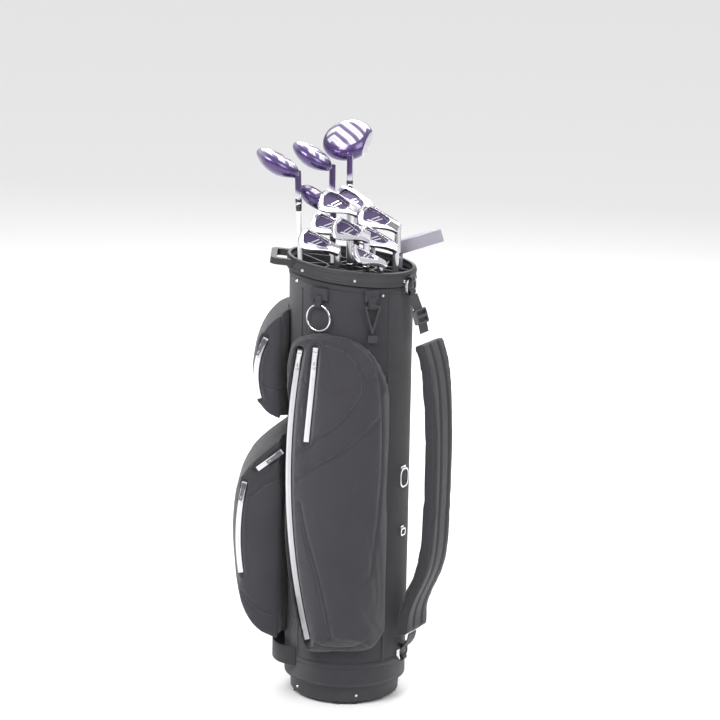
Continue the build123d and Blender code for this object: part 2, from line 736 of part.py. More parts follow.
def make_hangers():
    """Two webbing loops under the rim, the towel ring, the triangular loop and its clip."""
    with BuildPart() as webbing_tabs:
        add(hanger(TOWEL_ANGLE, 36))
        add(hanger(CLIP_ANGLE, 26))
    write(webbing_tabs, "webbing_tabs")

    hang = hang_plane(TOWEL_ANGLE).offset(RING_STANDOFF)
    middle = (RING_OUTER - RING_WIRE) / 2
    centre = hang.from_local_coords((0, BAND_BOTTOM - middle, 0))
    with BuildPart() as towel_ring:
        with BuildSketch(Plane(origin=centre + hang.x_dir * middle, x_dir=hang.x_dir, z_dir=hang.y_dir)):
            Circle(RING_WIRE / 2)
        revolve(axis=Axis(centre, hang.z_dir))
    write(towel_ring, "towel_ring")

    wide, tall, bar = TRIANGLE
    hang = hang_plane(CLIP_ANGLE).offset(RING_STANDOFF - RING_WIRE / 2)
    top = BAND_BOTTOM + RING_WIRE / 2
    with BuildPart() as clip_loop:
        with BuildSketch(hang):
            with BuildLine():
                Polyline((-wide / 2, top), (wide / 2, top), (0, top - tall), close=True)
            make_face()
            fillet(vertices(), 2.5)
            offset(amount=-bar, mode=Mode.SUBTRACT)
        extrude(amount=RING_WIRE)
    write(clip_loop, "clip_loop")

    with BuildPart() as accessory_clip:
        with BuildSketch(hang):
            with Locations((0, top - tall - CLIP[1] / 2 + 3.2)):
                RectangleRounded(CLIP[0], CLIP[1], 3)
        extrude(amount=CLIP[2])
        add(clip_loop.part, mode=Mode.SUBTRACT)
    write(accessory_clip, "accessory_clip")


STRAP_ANGLE = -28.0
PAD_WIDTH = 97.0
PAD_THICK = 23.0
# (distance from the axis, height) along the middle of the pad, from its top to its tail
PAD_ROUTE = (
    (172, 760), (190, 706), (202, 620), (206, 500), (203, 380), (191, 290), (166, 232), (154, 190),
    (155, 150),
)
STRAP_WEB = 34.0
UPPER_WEB_ROUTE = ((139, 848), (147, 830), (157, 806), (166.5, 774))
LOWER_WEB_ROUTE = ((155, 147), (150, 128), (137, 112))
D_RING = (44.0, 30.0, 4.0)      # width, height and wire of the ring that carries the strap
D_RING_HEIGHT = 866.0
LOW_RING_HEIGHT = 104.0
SIDE_RING_HEIGHT = 470.0
HOOK_HEIGHT = 356.0
BUCKLE = (46.0, 30.0, 9.0)


def strap_strip(route, thickness, width):
    """A strip along a route in the strap's own upright plane."""
    with BuildPart() as strip:
        with BuildSketch(radial(STRAP_ANGLE)):
            with BuildLine():
                Spline(*route)
            trace(line_width=thickness)
        extrude(amount=width / 2, both=True)
    return strip.part


def wire_ring(plane, width, height, wire):
    """A flat rectangular ring with rounded corners, its middle plane on this plane."""
    with BuildPart() as ring:
        with BuildSketch(plane):
            RectangleRounded(width, height, height / 3)
            RectangleRounded(width - 2 * wire, height - 2 * wire, height / 3 - wire / 2, mode=Mode.SUBTRACT)
        extrude(amount=wire / 2, both=True)
    return ring.part


def make_strap(cuff):
    """Padded shoulder strap, its webbing at both ends, its slide buckle and its rings."""
    with BuildPart() as strap_pad:
        add(strap_strip(PAD_ROUTE, PAD_THICK, PAD_WIDTH))
    write(strap_pad, "strap_pad")

    side = radial(STRAP_ANGLE)
    ring_spot = side.from_local_coords((TUBE_R + 9, D_RING_HEIGHT))
    low_spot = side.from_local_coords((TUBE_R + 9, LOW_RING_HEIGHT))
    facing = Plane(origin=ring_spot, x_dir=side.z_dir, z_dir=side.x_dir)
    low_facing = Plane(origin=low_spot, x_dir=side.z_dir, z_dir=side.x_dir)
    wide, tall, wire = D_RING
    rings = [wire_ring(facing, wide, tall, wire), wire_ring(low_facing, wide, tall, wire)]

    with BuildPart() as strap_webbing:
        add(strap_strip(UPPER_WEB_ROUTE, WEBBING, STRAP_WEB))
        add(strap_strip(LOWER_WEB_ROUTE, WEBBING, STRAP_WEB))
        for spot, turn in ((ring_spot, -1), (low_spot, 1)):
            bar = side.to_local_coords(spot) + Vector(0, turn * (tall - wire) / 2)
            tab = side.to_local_coords(spot) - Vector(0, turn * (tall - wire) / 2)
            for middle, width in ((bar, 20), (tab, NECK)):
                with BuildSketch(side):
                    with Locations((middle.X, middle.Y)):
                        Circle(FOLD + 1.2 + WEBBING)
                        Circle(FOLD + 1.2, mode=Mode.SUBTRACT)
                extrude(amount=width / 2, both=True)
            with BuildSketch(side):
                with Locations((TUBE_R + 1, tab.Y)):
                    Rectangle(10, 12)
                with Locations((tab.X, tab.Y)):
                    Circle(FOLD + 1.2, mode=Mode.SUBTRACT)
            extrude(amount=NECK / 2, both=True)
        add([tube_solid(), cuff, strap_pad.part], mode=Mode.SUBTRACT)
    write(strap_webbing, "strap_webbing")

    with BuildPart() as strap_rings:
        add(rings)
        for height, wide, tall in ((SIDE_RING_HEIGHT, 34.0, 40.0), (HOOK_HEIGHT, 20.0, 16.0)):
            spot = side.from_local_coords((TUBE_R + 3.2, height))
            add(wire_ring(Plane(origin=spot, x_dir=side.z_dir, z_dir=side.x_dir), wide, tall, 3.0))
            seat = side.from_local_coords((TUBE_R - 4, height + tall / 2))
            with BuildSketch(Plane(origin=seat, x_dir=side.z_dir, z_dir=side.x_dir)):
                Rectangle(wide * 0.6, 8)
            extrude(amount=5.7)
        add(tube_solid(), mode=Mode.SUBTRACT)
    write(strap_rings, "strap_rings")

    centre = side.from_local_coords((157, 806))
    lean = Plane(origin=centre, x_dir=side.z_dir, z_dir=(side.x_dir + Vector(0, 0, 0.32)).normalized())
    with BuildPart() as strap_buckle:
        with BuildSketch(lean):
            RectangleRounded(BUCKLE[0], BUCKLE[1], 5)
            with Locations((0, -7), (0, 7)):
                RectangleRounded(STRAP_WEB + 1.5, 8, 2, mode=Mode.SUBTRACT)
        extrude(amount=BUCKLE[2] / 2, both=True)
        add(strap_webbing.part, mode=Mode.SUBTRACT)
    write(strap_buckle, "strap_buckle")


STUD_R = 4.2
STUD_HEIGHT = 2.0
CUFF_RIVETS = (7, 221.5)        # how many, and the azimuth of the first
BASE_RIVETS = (5, 211.0)
HOOD_STUDS = (4, 210.0)


def studs(ring, radius, level):
    """Domed heads round a circle, at a level that may follow the tilted rim."""
    count, first = ring
    with BuildPart() as group:
        for index in range(count):
            out = radial(first + index * 360 / count).x_dir
            seat = out * (radius - 1) + Vector(0, 0, level(out.X * radius))
            with BuildSketch(Plane(origin=seat, z_dir=out)):
                Circle(STUD_R)
            extrude(amount=STUD_HEIGHT + 1, taper=30)
    return group.part


def make_rivets(walls):
    """Domed rivets of the base and cuff, and the press studs of the rain hood."""
    with BuildPart() as rivets_and_snaps:
        add(studs(BASE_RIVETS, BASE_R, lambda x: 21))
        add(studs(CUFF_RIVETS, CUFF_OUTER, lambda x: rim_height(x, CUFF_HEIGHT * 0.64)))
        add(studs(HOOD_STUDS, TUBE_R, lambda x: rim_height(x, CUFF_HEIGHT + 17)))
        add(walls, mode=Mode.SUBTRACT)
    write(rivets_and_snaps, "rivets_and_snaps")


base = make_base()
tube, cuff = make_tube()
make_divider()
for row in CLUBS:
    make_shaft(row)
    {"wood": make_wood, "iron": make_iron, "putter": make_putter}[row[1]](row)
make_pockets()
make_zips()
make_handles()
make_hangers()
make_strap(cuff)
make_rivets([base, tube, cuff])
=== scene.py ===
# %% [markdown]
# # A golf cart bag with its clubs
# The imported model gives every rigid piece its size, place and motion. This lesson gives the pieces
# their looks: stuffed nylon pockets by cloth simulation, smooth polished heads by remeshing, and
# procedural finishes for nylon, webbing, moulded plastic, chrome and metallic paint.

# %% Load the frame
import json
import math

import bmesh
import bpy
from mathutils import Matrix, Vector, kdtree, noise
from mathutils.bvhtree import BVHTree


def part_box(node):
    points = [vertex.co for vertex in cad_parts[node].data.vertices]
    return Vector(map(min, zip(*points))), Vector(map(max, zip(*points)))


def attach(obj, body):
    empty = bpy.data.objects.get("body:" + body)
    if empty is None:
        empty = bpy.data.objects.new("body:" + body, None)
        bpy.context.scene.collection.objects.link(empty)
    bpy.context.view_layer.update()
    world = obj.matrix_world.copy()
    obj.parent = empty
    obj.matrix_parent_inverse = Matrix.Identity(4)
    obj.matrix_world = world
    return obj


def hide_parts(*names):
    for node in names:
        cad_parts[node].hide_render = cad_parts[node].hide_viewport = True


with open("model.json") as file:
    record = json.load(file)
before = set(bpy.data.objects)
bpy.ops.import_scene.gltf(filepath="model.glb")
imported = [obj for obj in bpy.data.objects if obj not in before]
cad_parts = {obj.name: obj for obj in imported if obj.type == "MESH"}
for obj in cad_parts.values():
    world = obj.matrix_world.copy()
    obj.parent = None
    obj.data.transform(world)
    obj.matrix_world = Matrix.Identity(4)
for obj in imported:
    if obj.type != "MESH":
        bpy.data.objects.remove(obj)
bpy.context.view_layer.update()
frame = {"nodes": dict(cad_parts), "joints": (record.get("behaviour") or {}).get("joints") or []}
nodes = frame["nodes"]

# %% [markdown]
# ## Camera, floor and light
# The bag is seen from the front, from a little above, with a long lens. A pale floor and large soft
# lights keep the dark cloth readable: small hard lights would lose its folds in black.

# %% Camera
scene = bpy.context.scene
camera_data = bpy.data.cameras.new("camera")
camera_data.lens = 152.5
camera_data.sensor_width = 36
camera = bpy.data.objects.new("camera", camera_data)
scene.collection.objects.link(camera)
camera.location = (0.02, -6.0, 2.1)
camera.rotation_euler = (math.radians(90 - 13.16), math.radians(0), 0)
camera.rotation_euler.rotate_axis("Z", math.radians(1.1))
scene.camera = camera


# %% Floor and lights
def plain_floor():
    """A wide pale floor that isn't part of the object."""
    bm = bmesh.new()
    bmesh.ops.create_grid(bm, x_segments=1, y_segments=1, size=30)
    mesh = bpy.data.meshes.new("floor")
    bm.to_mesh(mesh)
    bm.free()
    floor = bpy.data.objects.new("floor", mesh)
    scene.collection.objects.link(floor)
    material = bpy.data.materials.new("pale_floor")
    material.use_nodes = True
    surface = material.node_tree.nodes["Principled BSDF"]
    surface.inputs["Base Color"].default_value = (0.88, 0.88, 0.88, 1)
    surface.inputs["Roughness"].default_value = 0.9
    mesh.materials.append(material)


def soft_light(name, place, size, power, target=(0, 0, 0.6)):
    """A square area light that faces a point of the bag."""
    data = bpy.data.lights.new(name, "AREA")
    data.size = size
    data.energy = power
    lamp = bpy.data.objects.new(name, data)
    lamp.location = place
    lamp.rotation_euler = (Vector(target) - Vector(place)).to_track_quat("-Z", "Y").to_euler()
    scene.collection.objects.link(lamp)


plain_floor()
soft_light("key", (-1.3, -2.0, 2.9), 1.4, 85, (0, 0, 1.0))
soft_light("fill", (2.2, -2.2, 2.6), 1.8, 45, (0, 0, 1.0))
soft_light("back", (0.5, 3.0, 3.2), 2.6, 110)


def studio_world():
    """White where the camera looks; elsewhere bright above and dim near the horizon, for the chrome."""
    world = bpy.data.worlds.new("studio")
    world.use_nodes = True
    tree = world.node_tree
    place = tree.nodes.new("ShaderNodeTexCoord")
    split = tree.nodes.new("ShaderNodeSeparateXYZ")
    tree.links.new(place.outputs["Generated"], split.inputs[0])
    ramp = tree.nodes.new("ShaderNodeMapRange")
    ramp.inputs["From Min"].default_value = 0.05
    ramp.inputs["From Max"].default_value = 0.65
    ramp.inputs["To Min"].default_value = 0.22
    ramp.inputs["To Max"].default_value = 1.0
    tree.links.new(split.outputs["Z"], ramp.inputs["Value"])
    ray = tree.nodes.new("ShaderNodeLightPath")
    pick = tree.nodes.new("ShaderNodeMath")
    pick.operation = "MAXIMUM"
    tree.links.new(ramp.outputs[0], pick.inputs[0])
    tree.links.new(ray.outputs["Is Camera Ray"], pick.inputs[1])
    back = tree.nodes["Background"]
    back.inputs["Color"].default_value = (1, 1, 1, 1)
    tree.links.new(pick.outputs[0], back.inputs["Strength"])
    scene.world = world


studio_world()
scene.view_settings.view_transform = "Standard"

# %% [markdown]
# ## Shared effects
# Every finish starts from a few effects. Each is a node group with named inputs, so one weave or one
# grain serves several materials at different scales.


# %% Node helpers
def group_with(name, inputs, outputs):
    """An empty shader node group with float inputs and typed outputs."""
    group = bpy.data.node_groups.new(name, "ShaderNodeTree")
    for label, value in inputs.items():
        socket = group.interface.new_socket(label, in_out="INPUT", socket_type="NodeSocketFloat")
        socket.default_value = value
    for label, kind in outputs.items():
        group.interface.new_socket(label, in_out="OUTPUT", socket_type=kind)
    return group, group.nodes.new("NodeGroupInput"), group.nodes.new("NodeGroupOutput")


def math_node(tree, operation, first, second=None, clamp=False):
    """A math node fed by sockets or numbers; gives its output socket."""
    node = tree.nodes.new("ShaderNodeMath")
    node.operation = operation
    node.use_clamp = clamp
    for index, value in enumerate((first, second)):
        if value is None:
            continue
        if isinstance(value, (int, float)):
            node.inputs[index].default_value = value
        else:
            tree.links.new(value, node.inputs[index])
    return node.outputs[0]


def mix_colour(tree, factor, first, second, blend="MIX"):
    """Mixes two colours, each a socket or a tuple."""
    node = tree.nodes.new("ShaderNodeMix")
    node.data_type = "RGBA"
    node.blend_type = blend
    for socket, value in ((node.inputs[0], factor), (node.inputs[6], first), (node.inputs[7], second)):
        if isinstance(value, (int, float)):
            socket.default_value = value
        elif isinstance(value, tuple):
            socket.default_value = (*value, 1)
        else:
            tree.links.new(value, socket)
    return node.outputs[2]


# %% Weave group
def make_weave_group():
    """Crossed threads: fine ridges over and under, with slow uneven wear between them."""
    group, given, result = group_with(
        "woven_threads",
        {"Threads per Metre": 1400.0, "Worn": 0.5},
        {"Height": "NodeSocketFloat", "Shade": "NodeSocketFloat"},
    )
    place = group.nodes.new("ShaderNodeTexCoord")
    axes = group.nodes.new("ShaderNodeSeparateXYZ")
    group.links.new(place.outputs["Object"], axes.inputs[0])
    angle = math_node(group, "ARCTAN2", axes.outputs["Y"], axes.outputs["X"])
    around = math_node(group, "MULTIPLY", angle, 0.125)
    waves = []
    for along in (around, axes.outputs["Z"]):
        turns = math_node(group, "MULTIPLY", along, given.outputs["Threads per Metre"])
        waves.append(math_node(group, "SINE", math_node(group, "MULTIPLY", turns, math.tau)))
    crossed = math_node(group, "MULTIPLY", waves[0], waves[1])
    blotch = group.nodes.new("ShaderNodeTexNoise")
    blotch.inputs["Scale"].default_value = 9.0
    blotch.inputs["Detail"].default_value = 4.0
    group.links.new(place.outputs["Object"], blotch.inputs["Vector"])
    fleck = group.nodes.new("ShaderNodeTexNoise")
    fleck.inputs["Scale"].default_value = 900.0
    fleck.inputs["Detail"].default_value = 2.0
    group.links.new(place.outputs["Object"], fleck.inputs["Vector"])
    flecks = math_node(group, "MULTIPLY", fleck.outputs["Fac"], 0.7)
    speckled = math_node(group, "ADD", flecks, math_node(group, "MULTIPLY", crossed, 0.3))
    worn = math_node(group, "MULTIPLY", blotch.outputs["Fac"], given.outputs["Worn"])
    shade = math_node(group, "ADD", math_node(group, "MULTIPLY", speckled, 0.5), worn)
    group.links.new(shade, result.inputs["Shade"])
    group.links.new(speckled, result.inputs["Height"])
    return group


weave_group = make_weave_group()


# %% Grain group
def make_grain_group():
    """Moulded grain: small pebbles with faint scuffs, for plastic, rubber and brushed metal."""
    group, given, result = group_with(
        "fine_grain",
        {"Grains per Metre": 700.0, "Stretch": 1.0},
        {"Height": "NodeSocketFloat", "Scuff": "NodeSocketFloat"},
    )
    place = group.nodes.new("ShaderNodeTexCoord")
    scaled = group.nodes.new("ShaderNodeVectorMath")
    scaled.operation = "MULTIPLY"
    stretch = group.nodes.new("ShaderNodeCombineXYZ")
    group.links.new(given.outputs["Stretch"], stretch.inputs["X"])
    stretch.inputs["Y"].default_value = 1.0
    stretch.inputs["Z"].default_value = 1.0
    group.links.new(place.outputs["Object"], scaled.inputs[0])
    group.links.new(stretch.outputs[0], scaled.inputs[1])
    pebbles = group.nodes.new("ShaderNodeTexNoise")
    pebbles.inputs["Detail"].default_value = 3.0
    group.links.new(scaled.outputs[0], pebbles.inputs["Vector"])
    group.links.new(given.outputs["Grains per Metre"], pebbles.inputs["Scale"])
    scuffs = group.nodes.new("ShaderNodeTexNoise")
    scuffs.inputs["Scale"].default_value = 22.0
    scuffs.inputs["Detail"].default_value = 6.0
    scuffs.inputs["Roughness"].default_value = 0.7
    group.links.new(place.outputs["Object"], scuffs.inputs["Vector"])
    group.links.new(pebbles.outputs["Fac"], result.inputs["Height"])
    group.links.new(scuffs.outputs["Fac"], result.inputs["Scuff"])
    return group


grain_group = make_grain_group()

# %% [markdown]
# ## Finishes
# Each finish is one Principled surface. The groups above feed only its colour, roughness and bump, and
# everything that is the same all over is set on the shader itself.


# %% Cloth finishes
def blank_material(name):
    """A node material with its tree and its Principled shader."""
    material = bpy.data.materials.new(name)
    material.use_nodes = True
    return material, material.node_tree, material.node_tree.nodes["Principled BSDF"]


def feed_bump(tree, surface, height, distance, strength=0.6):
    """Turns a height into the surface's normal."""
    bump = tree.nodes.new("ShaderNodeBump")
    bump.inputs["Distance"].default_value = distance
    bump.inputs["Strength"].default_value = strength
    tree.links.new(height, bump.inputs["Height"])
    tree.links.new(bump.outputs["Normal"], surface.inputs["Normal"])


def cloth_material(name, dark, light, threads, bump=0.0006, sheen=0.35, rough=0.62):
    """Woven cloth between a dark and a light shade."""
    material, tree, surface = blank_material(name)
    weave = tree.nodes.new("ShaderNodeGroup")
    weave.node_tree = weave_group
    weave.inputs["Threads per Metre"].default_value = threads
    weave.inputs["Worn"].default_value = 0.5
    tree.links.new(mix_colour(tree, weave.outputs["Shade"], dark, light), surface.inputs["Base Color"])
    surface.inputs["Roughness"].default_value = rough
    surface.inputs["Sheen Weight"].default_value = sheen
    surface.inputs["Sheen Roughness"].default_value = 0.45
    surface.inputs["Specular IOR Level"].default_value = 0.35
    feed_bump(tree, surface, weave.outputs["Height"], bump)
    return material


nylon = cloth_material(
    "charcoal_nylon", (0.013, 0.012, 0.016), (0.042, 0.039, 0.049),
    1300, bump=0.0009, sheen=0.25,
)
strap_cloth = cloth_material(
    "strap_cloth", (0.010, 0.009, 0.012), (0.034, 0.031, 0.038),
    900, bump=0.0010, sheen=0.2,
)
webbing_cloth = cloth_material(
    "webbing", (0.014, 0.013, 0.016), (0.045, 0.041, 0.050),
    520, bump=0.0012, sheen=0.15,
)
piping_cloth = cloth_material(
    "seam_piping", (0.016, 0.015, 0.019), (0.038, 0.035, 0.043),
    1600, sheen=0.2,
)
zip_cloth = cloth_material("white_zip_tape", (0.60, 0.59, 0.63), (0.92, 0.91, 0.94), 1500, sheen=0.1)
print("cloth finishes", [m.name for m in (nylon, strap_cloth, webbing_cloth, piping_cloth, zip_cloth)])


# %% Plastic, rubber and metal finishes
def grained_material(
    name, base, scuffed, rough, rough_spread, grains, bump, metallic=0.0, coat=0.0, stretch=1.0
):
    """A moulded, cast or brushed surface with grain, and scuffs that change its gloss and shade."""
    material, tree, surface = blank_material(name)
    grain = tree.nodes.new("ShaderNodeGroup")
    grain.node_tree = grain_group
    grain.inputs["Grains per Metre"].default_value = grains
    grain.inputs["Stretch"].default_value = stretch
    tree.links.new(mix_colour(tree, grain.outputs["Scuff"], base, scuffed), surface.inputs["Base Color"])
    spread = math_node(tree, "MULTIPLY", grain.outputs["Scuff"], rough_spread)
    tree.links.new(math_node(tree, "ADD", spread, rough, clamp=True), surface.inputs["Roughness"])
    surface.inputs["Metallic"].default_value = metallic
    surface.inputs["Coat Weight"].default_value = coat
    feed_bump(tree, surface, grain.outputs["Height"], bump, 0.5)
    return material


moulded = grained_material(
    "moulded_plastic", (0.013, 0.012, 0.015), (0.038, 0.036, 0.041),
    0.40, 0.25, 900, 0.0004,
)
rubber = grained_material(
    "black_rubber", (0.016, 0.016, 0.017), (0.035, 0.034, 0.036),
    0.65, 0.2, 1200, 0.0005,
)
chrome = grained_material(
    "chrome", (0.80, 0.79, 0.82), (0.70, 0.69, 0.73),
    0.07, 0.12, 300, 0.00002, metallic=1.0,
)
satin_steel = grained_material(
    "satin_steel", (0.50, 0.47, 0.53), (0.62, 0.59, 0.65),
    0.30, 0.15, 500, 0.00008, metallic=0.9, stretch=0.1,
)
gunmetal = grained_material(
    "gunmetal", (0.10, 0.095, 0.11), (0.20, 0.19, 0.21),
    0.28, 0.2, 600, 0.0001, metallic=0.8,
)
foam = grained_material("black_foam", (0.02, 0.02, 0.022), (0.05, 0.05, 0.055), 0.85, 0.1, 400, 0.001)
white_paint = grained_material(
    "white_shaft_paint", (0.86, 0.84, 0.89), (0.92, 0.91, 0.94),
    0.16, 0.1, 300, 0.00002, coat=0.6,
)
hard = (moulded, rubber, chrome, satin_steel, gunmetal, foam, white_paint)
print("hard finishes", [m.name for m in hard])

# %% [markdown]
# ## Shaping helpers
# A new piece is always published the same way: its mesh rides on a body, the CAD nodes that it replaces
# are hidden, and it takes the finish that it is given.


# %% Publish and dress
def publish(name, shape, materials, body="bag", nodes_replaced=(), smooth=True):
    """Turns a bmesh or a mesh into a piece of the object."""
    if isinstance(shape, bmesh.types.BMesh):
        bmesh.ops.recalc_face_normals(shape, faces=shape.faces)
        mesh = bpy.data.meshes.new(name)
        shape.to_mesh(mesh)
        shape.free()
    else:
        mesh = shape
        mesh.name = name
    piece = bpy.data.objects.new(name, mesh)
    scene.collection.objects.link(piece)
    mesh.materials.clear()
    for material in materials if isinstance(materials, (list, tuple)) else (materials,):
        mesh.materials.append(material)
    mesh.polygons.foreach_set("use_smooth", [smooth] * len(mesh.polygons))
    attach(piece, body)
    if nodes_replaced:
        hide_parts(*nodes_replaced)
    return piece


def dress(material, *names):
    """Gives CAD nodes a finish without touching their meshes."""
    for name in names:
        for holder in nodes[name].material_slots:
            holder.link = "OBJECT"
            holder.material = material


def soft_edges(piece, width, segments=3):
    """Rounds a piece's edges with a bevel that only follows sharp corners."""
    bevel = piece.modifiers.new("edges", "BEVEL")
    bevel.width = width
    bevel.segments = segments
    bevel.limit_method = "ANGLE"
    bevel.angle_limit = math.radians(35)


# %% Meshes from the frame
def cad_copy(name):
    """A welded copy of a CAD node's mesh."""
    bm = bmesh.new()
    bm.from_mesh(nodes[name].data)
    bmesh.ops.remove_doubles(bm, verts=bm.verts, dist=0.00001)
    return bm


def applied(bm, *steps):
    """The mesh that a bmesh becomes after modifiers given as (kind, settings)."""
    mesh = bpy.data.meshes.new("work")
    bm.to_mesh(mesh)
    bm.free()
    work = bpy.data.objects.new("work", mesh)
    scene.collection.objects.link(work)
    for kind, settings in steps:
        modifier = work.modifiers.new(kind.lower(), kind)
        for label, value in settings.items():
            setattr(modifier, label, value)
    result = bpy.data.meshes.new_from_object(work.evaluated_get(bpy.context.evaluated_depsgraph_get()))
    bpy.data.objects.remove(work)
    return result


def lathe(profile, origin, axis, steps=32):
    """A closed turned form: (distance along the axis, radius) pairs spun right round it."""
    bm = bmesh.new()
    rail = [bm.verts.new((max(radius, 0.00001), 0, along)) for along, radius in profile]
    for first, second in zip(rail, rail[1:]):
        bm.edges.new((first, second))
    bmesh.ops.spin(bm, geom=bm.verts[:] + bm.edges[:], cent=(0, 0, 0), axis=(0, 0, 1), angle=math.tau,
                   steps=steps, use_merge=True)
    bmesh.ops.remove_doubles(bm, verts=bm.verts, dist=0.00004)
    bmesh.ops.holes_fill(bm, edges=bm.edges, sides=0)
    turn = Vector((0, 0, 1)).rotation_difference(Vector(axis)).to_matrix().to_4x4()
    bmesh.ops.transform(bm, matrix=Matrix.Translation(origin) @ turn, verts=bm.verts)
    return bm


# %% Sweeps
def smooth_route(points, spacing=0.004):
    """Evenly spaced points on a soft curve through the given ones."""
    points = [Vector(p) for p in points]
    ends = [points[0] * 2 - points[1]] + points + [points[-1] * 2 - points[-2]]
    route = []
    for a, b, c, d in zip(ends, ends[1:], ends[2:], ends[3:]):
        count = max(1, round((c - b).length / spacing))
        for step in range(count):
            t = step / count
            route.append(0.5 * ((2 * b) + (c - a) * t + (2 * a - 5 * b + 4 * c - d) * t * t
                                + (3 * b - a - 3 * c + d) * t ** 3))
    route.append(points[-1])
    return route


def sweep(route, section, outward):
    """Runs a closed section (across, out) along a route. outward(point) says which way is out."""
    bm = bmesh.new()
    rings = []
    for index, place in enumerate(route):
        before = route[max(index - 1, 0)]
        after = route[min(index + 1, len(route) - 1)]
        along = (after - before).normalized()
        out = Vector(outward(place)) if callable(outward) else Vector(outward)
        across = along.cross(out).normalized()
        out = across.cross(along)
        rings.append([bm.verts.new(place + across * a + out * o) for a, o in section])
    count = len(section)
    for low, high in zip(rings, rings[1:]):
        for i in range(count):
            bm.faces.new((low[i], low[(i + 1) % count], high[(i + 1) % count], high[i]))
    bm.faces.new(rings[0])
    bm.faces.new(list(reversed(rings[-1])))
    return bm


def round_section(radius, sides=8):
    """A circle for a cord or piping."""
    turns = [math.tau * i / sides for i in range(sides)]
    return [(radius * math.cos(t), radius * math.sin(t)) for t in turns]


def flat_section(width, thick, bulge=0.0):
    """A band with rounded edges, and a crown of bulge at its middle."""
    w, t = width / 2, thick / 2
    top = [(-w * 0.96, t * 0.8), (-w * 0.6, t + bulge * 0.6), (0, t + bulge), (w * 0.6, t + bulge * 0.6),
           (w * 0.96, t * 0.8)]
    return [(-w, 0)] + top + [(w, 0), (w * 0.96, -t * 0.8), (0, -t), (-w * 0.96, -t * 0.8)]


def radial(place):
    """Straight out from the bag's upright axis."""
    return (place[0], place[1], 0)

# %% [markdown]
# ## The clubs
# A club is a grip, a tapered shaft, a short ferrule and a head. The lift joint gives the shaft's line,
# so the round pieces are turned about it. Each head starts as a copy of its CAD solid, remeshed finely
# and relaxed, which is what casting and polishing do to the corners.

# %% Club data
WOODS = ("driver", "fairway_wood_3", "fairway_wood_5", "hybrid")
# name: (degrees that the toe points to, loft in degrees, hosel length in millimetres)
CLUBS = {
    "driver": (68, 11, 74), "fairway_wood_3": (183, 15, 72), "fairway_wood_5": (171, 18, 70),
    "hybrid": (182, 22, 66), "iron_5": (193, 26, 62), "iron_6": (158, 29, 62), "iron_7": (203, 33, 62),
    "iron_8": (180, 37, 62), "iron_9": (180, 41, 62), "pitching_wedge": (185, 45, 62),
    "gap_wedge": (178, 50, 62), "sand_wedge": (210, 55, 62), "putter": (-1, 4, 58),
}
LIE = {"putter": 71, **{name: 58 for name in WOODS}}
lifts = [joint for joint in frame["joints"] if joint["name"].endswith("_lift")]
lift_axis = {joint["name"].removesuffix("_lift"): Vector(joint["axis"]) for joint in lifts}


def club_line(name):
    """Two points on a club's shaft line: its lowest and its highest."""
    axis = lift_axis[name]
    across = axis.orthogonal().normalized()
    other = axis.cross(across)
    spots = [vertex.co for vertex in nodes[f"{name}_shaft"].data.vertices]
    centre = Vector((0, 0, 0))
    for way in (across, other):
        reach = [spot.dot(way) for spot in spots]
        centre += way * (min(reach) + max(reach)) / 2
    along = [spot.dot(axis) for spot in spots]
    return centre + axis * min(along), centre + axis * max(along)


def head_axes(name):
    """The head's heel point and its toe, back and sole directions, and the loft in radians."""
    heading, loft, hosel = CLUBS[name]
    axis = lift_axis[name]
    heel = club_line(name)[1] + axis * (hosel - 27) / 1000
    toe = Vector((math.cos(math.radians(heading)), math.sin(math.radians(heading)), 0))
    toe = (toe - axis * toe.dot(axis)).normalized()
    rise = math.radians(90 - LIE.get(name, 61))
    out = toe * math.cos(rise) + axis * math.sin(rise)
    sole = axis * math.cos(rise) - toe * math.sin(rise)
    return heel, out, sole.cross(out), sole, math.radians(loft)


print("driver heel", [round(c, 3) for c in head_axes("driver")[0]])


# %% Shafts, grips and ferrules
def grip_profile(length):
    """A tapered rubber grip: capped butt, fine rings, and a step where it ends on the shaft."""
    profile = [(0, 0.0), (0, 0.0095), (0.0012, 0.0115), (0.004, 0.0119), (0.0055, 0.0112), (0.007, 0.0118)]
    rings = 44
    for i in range(rings):
        along = 0.012 + (length - 0.02) * i / rings
        radius = 0.0117 - 0.0032 * i / rings
        profile += [(along, radius), (along + 0.0034, radius), (along + 0.0042, radius - 0.00035)]
    return profile + [(length - 0.004, 0.0083), (length - 0.001, 0.0080), (length, 0.0070), (length, 0.0)]


def shaft_profile(length, butt, tip, stepped):
    """A shaft tube: a smooth taper, or the small steps of a drawn steel one."""
    profile = [(0.002, 0.0), (0.002, butt)]
    steps = 16
    for i in range(1, steps + 1):
        along = length * i / steps
        radius = butt + (tip - butt) * i / steps
        if stepped and i < steps:
            profile += [(along - 0.0012, butt + (tip - butt) * (i - 1) / steps), (along, radius)]
        else:
            profile.append((along, radius))
    return profile + [(length, 0.0)]


ferrule_rings = [(0, 0.0050), (0.0008, 0.0055), (0.004, 0.0058), (0.0044, 0.0054), (0.0052, 0.0054),
                 (0.0056, 0.0059), (0.010, 0.0062), (0.0104, 0.0058), (0.0112, 0.0058), (0.0116, 0.0063),
                 (0.0185, 0.0066), (0.0189, 0.0062), (0.0197, 0.0062), (0.0201, 0.0067), (0.0238, 0.0067)]


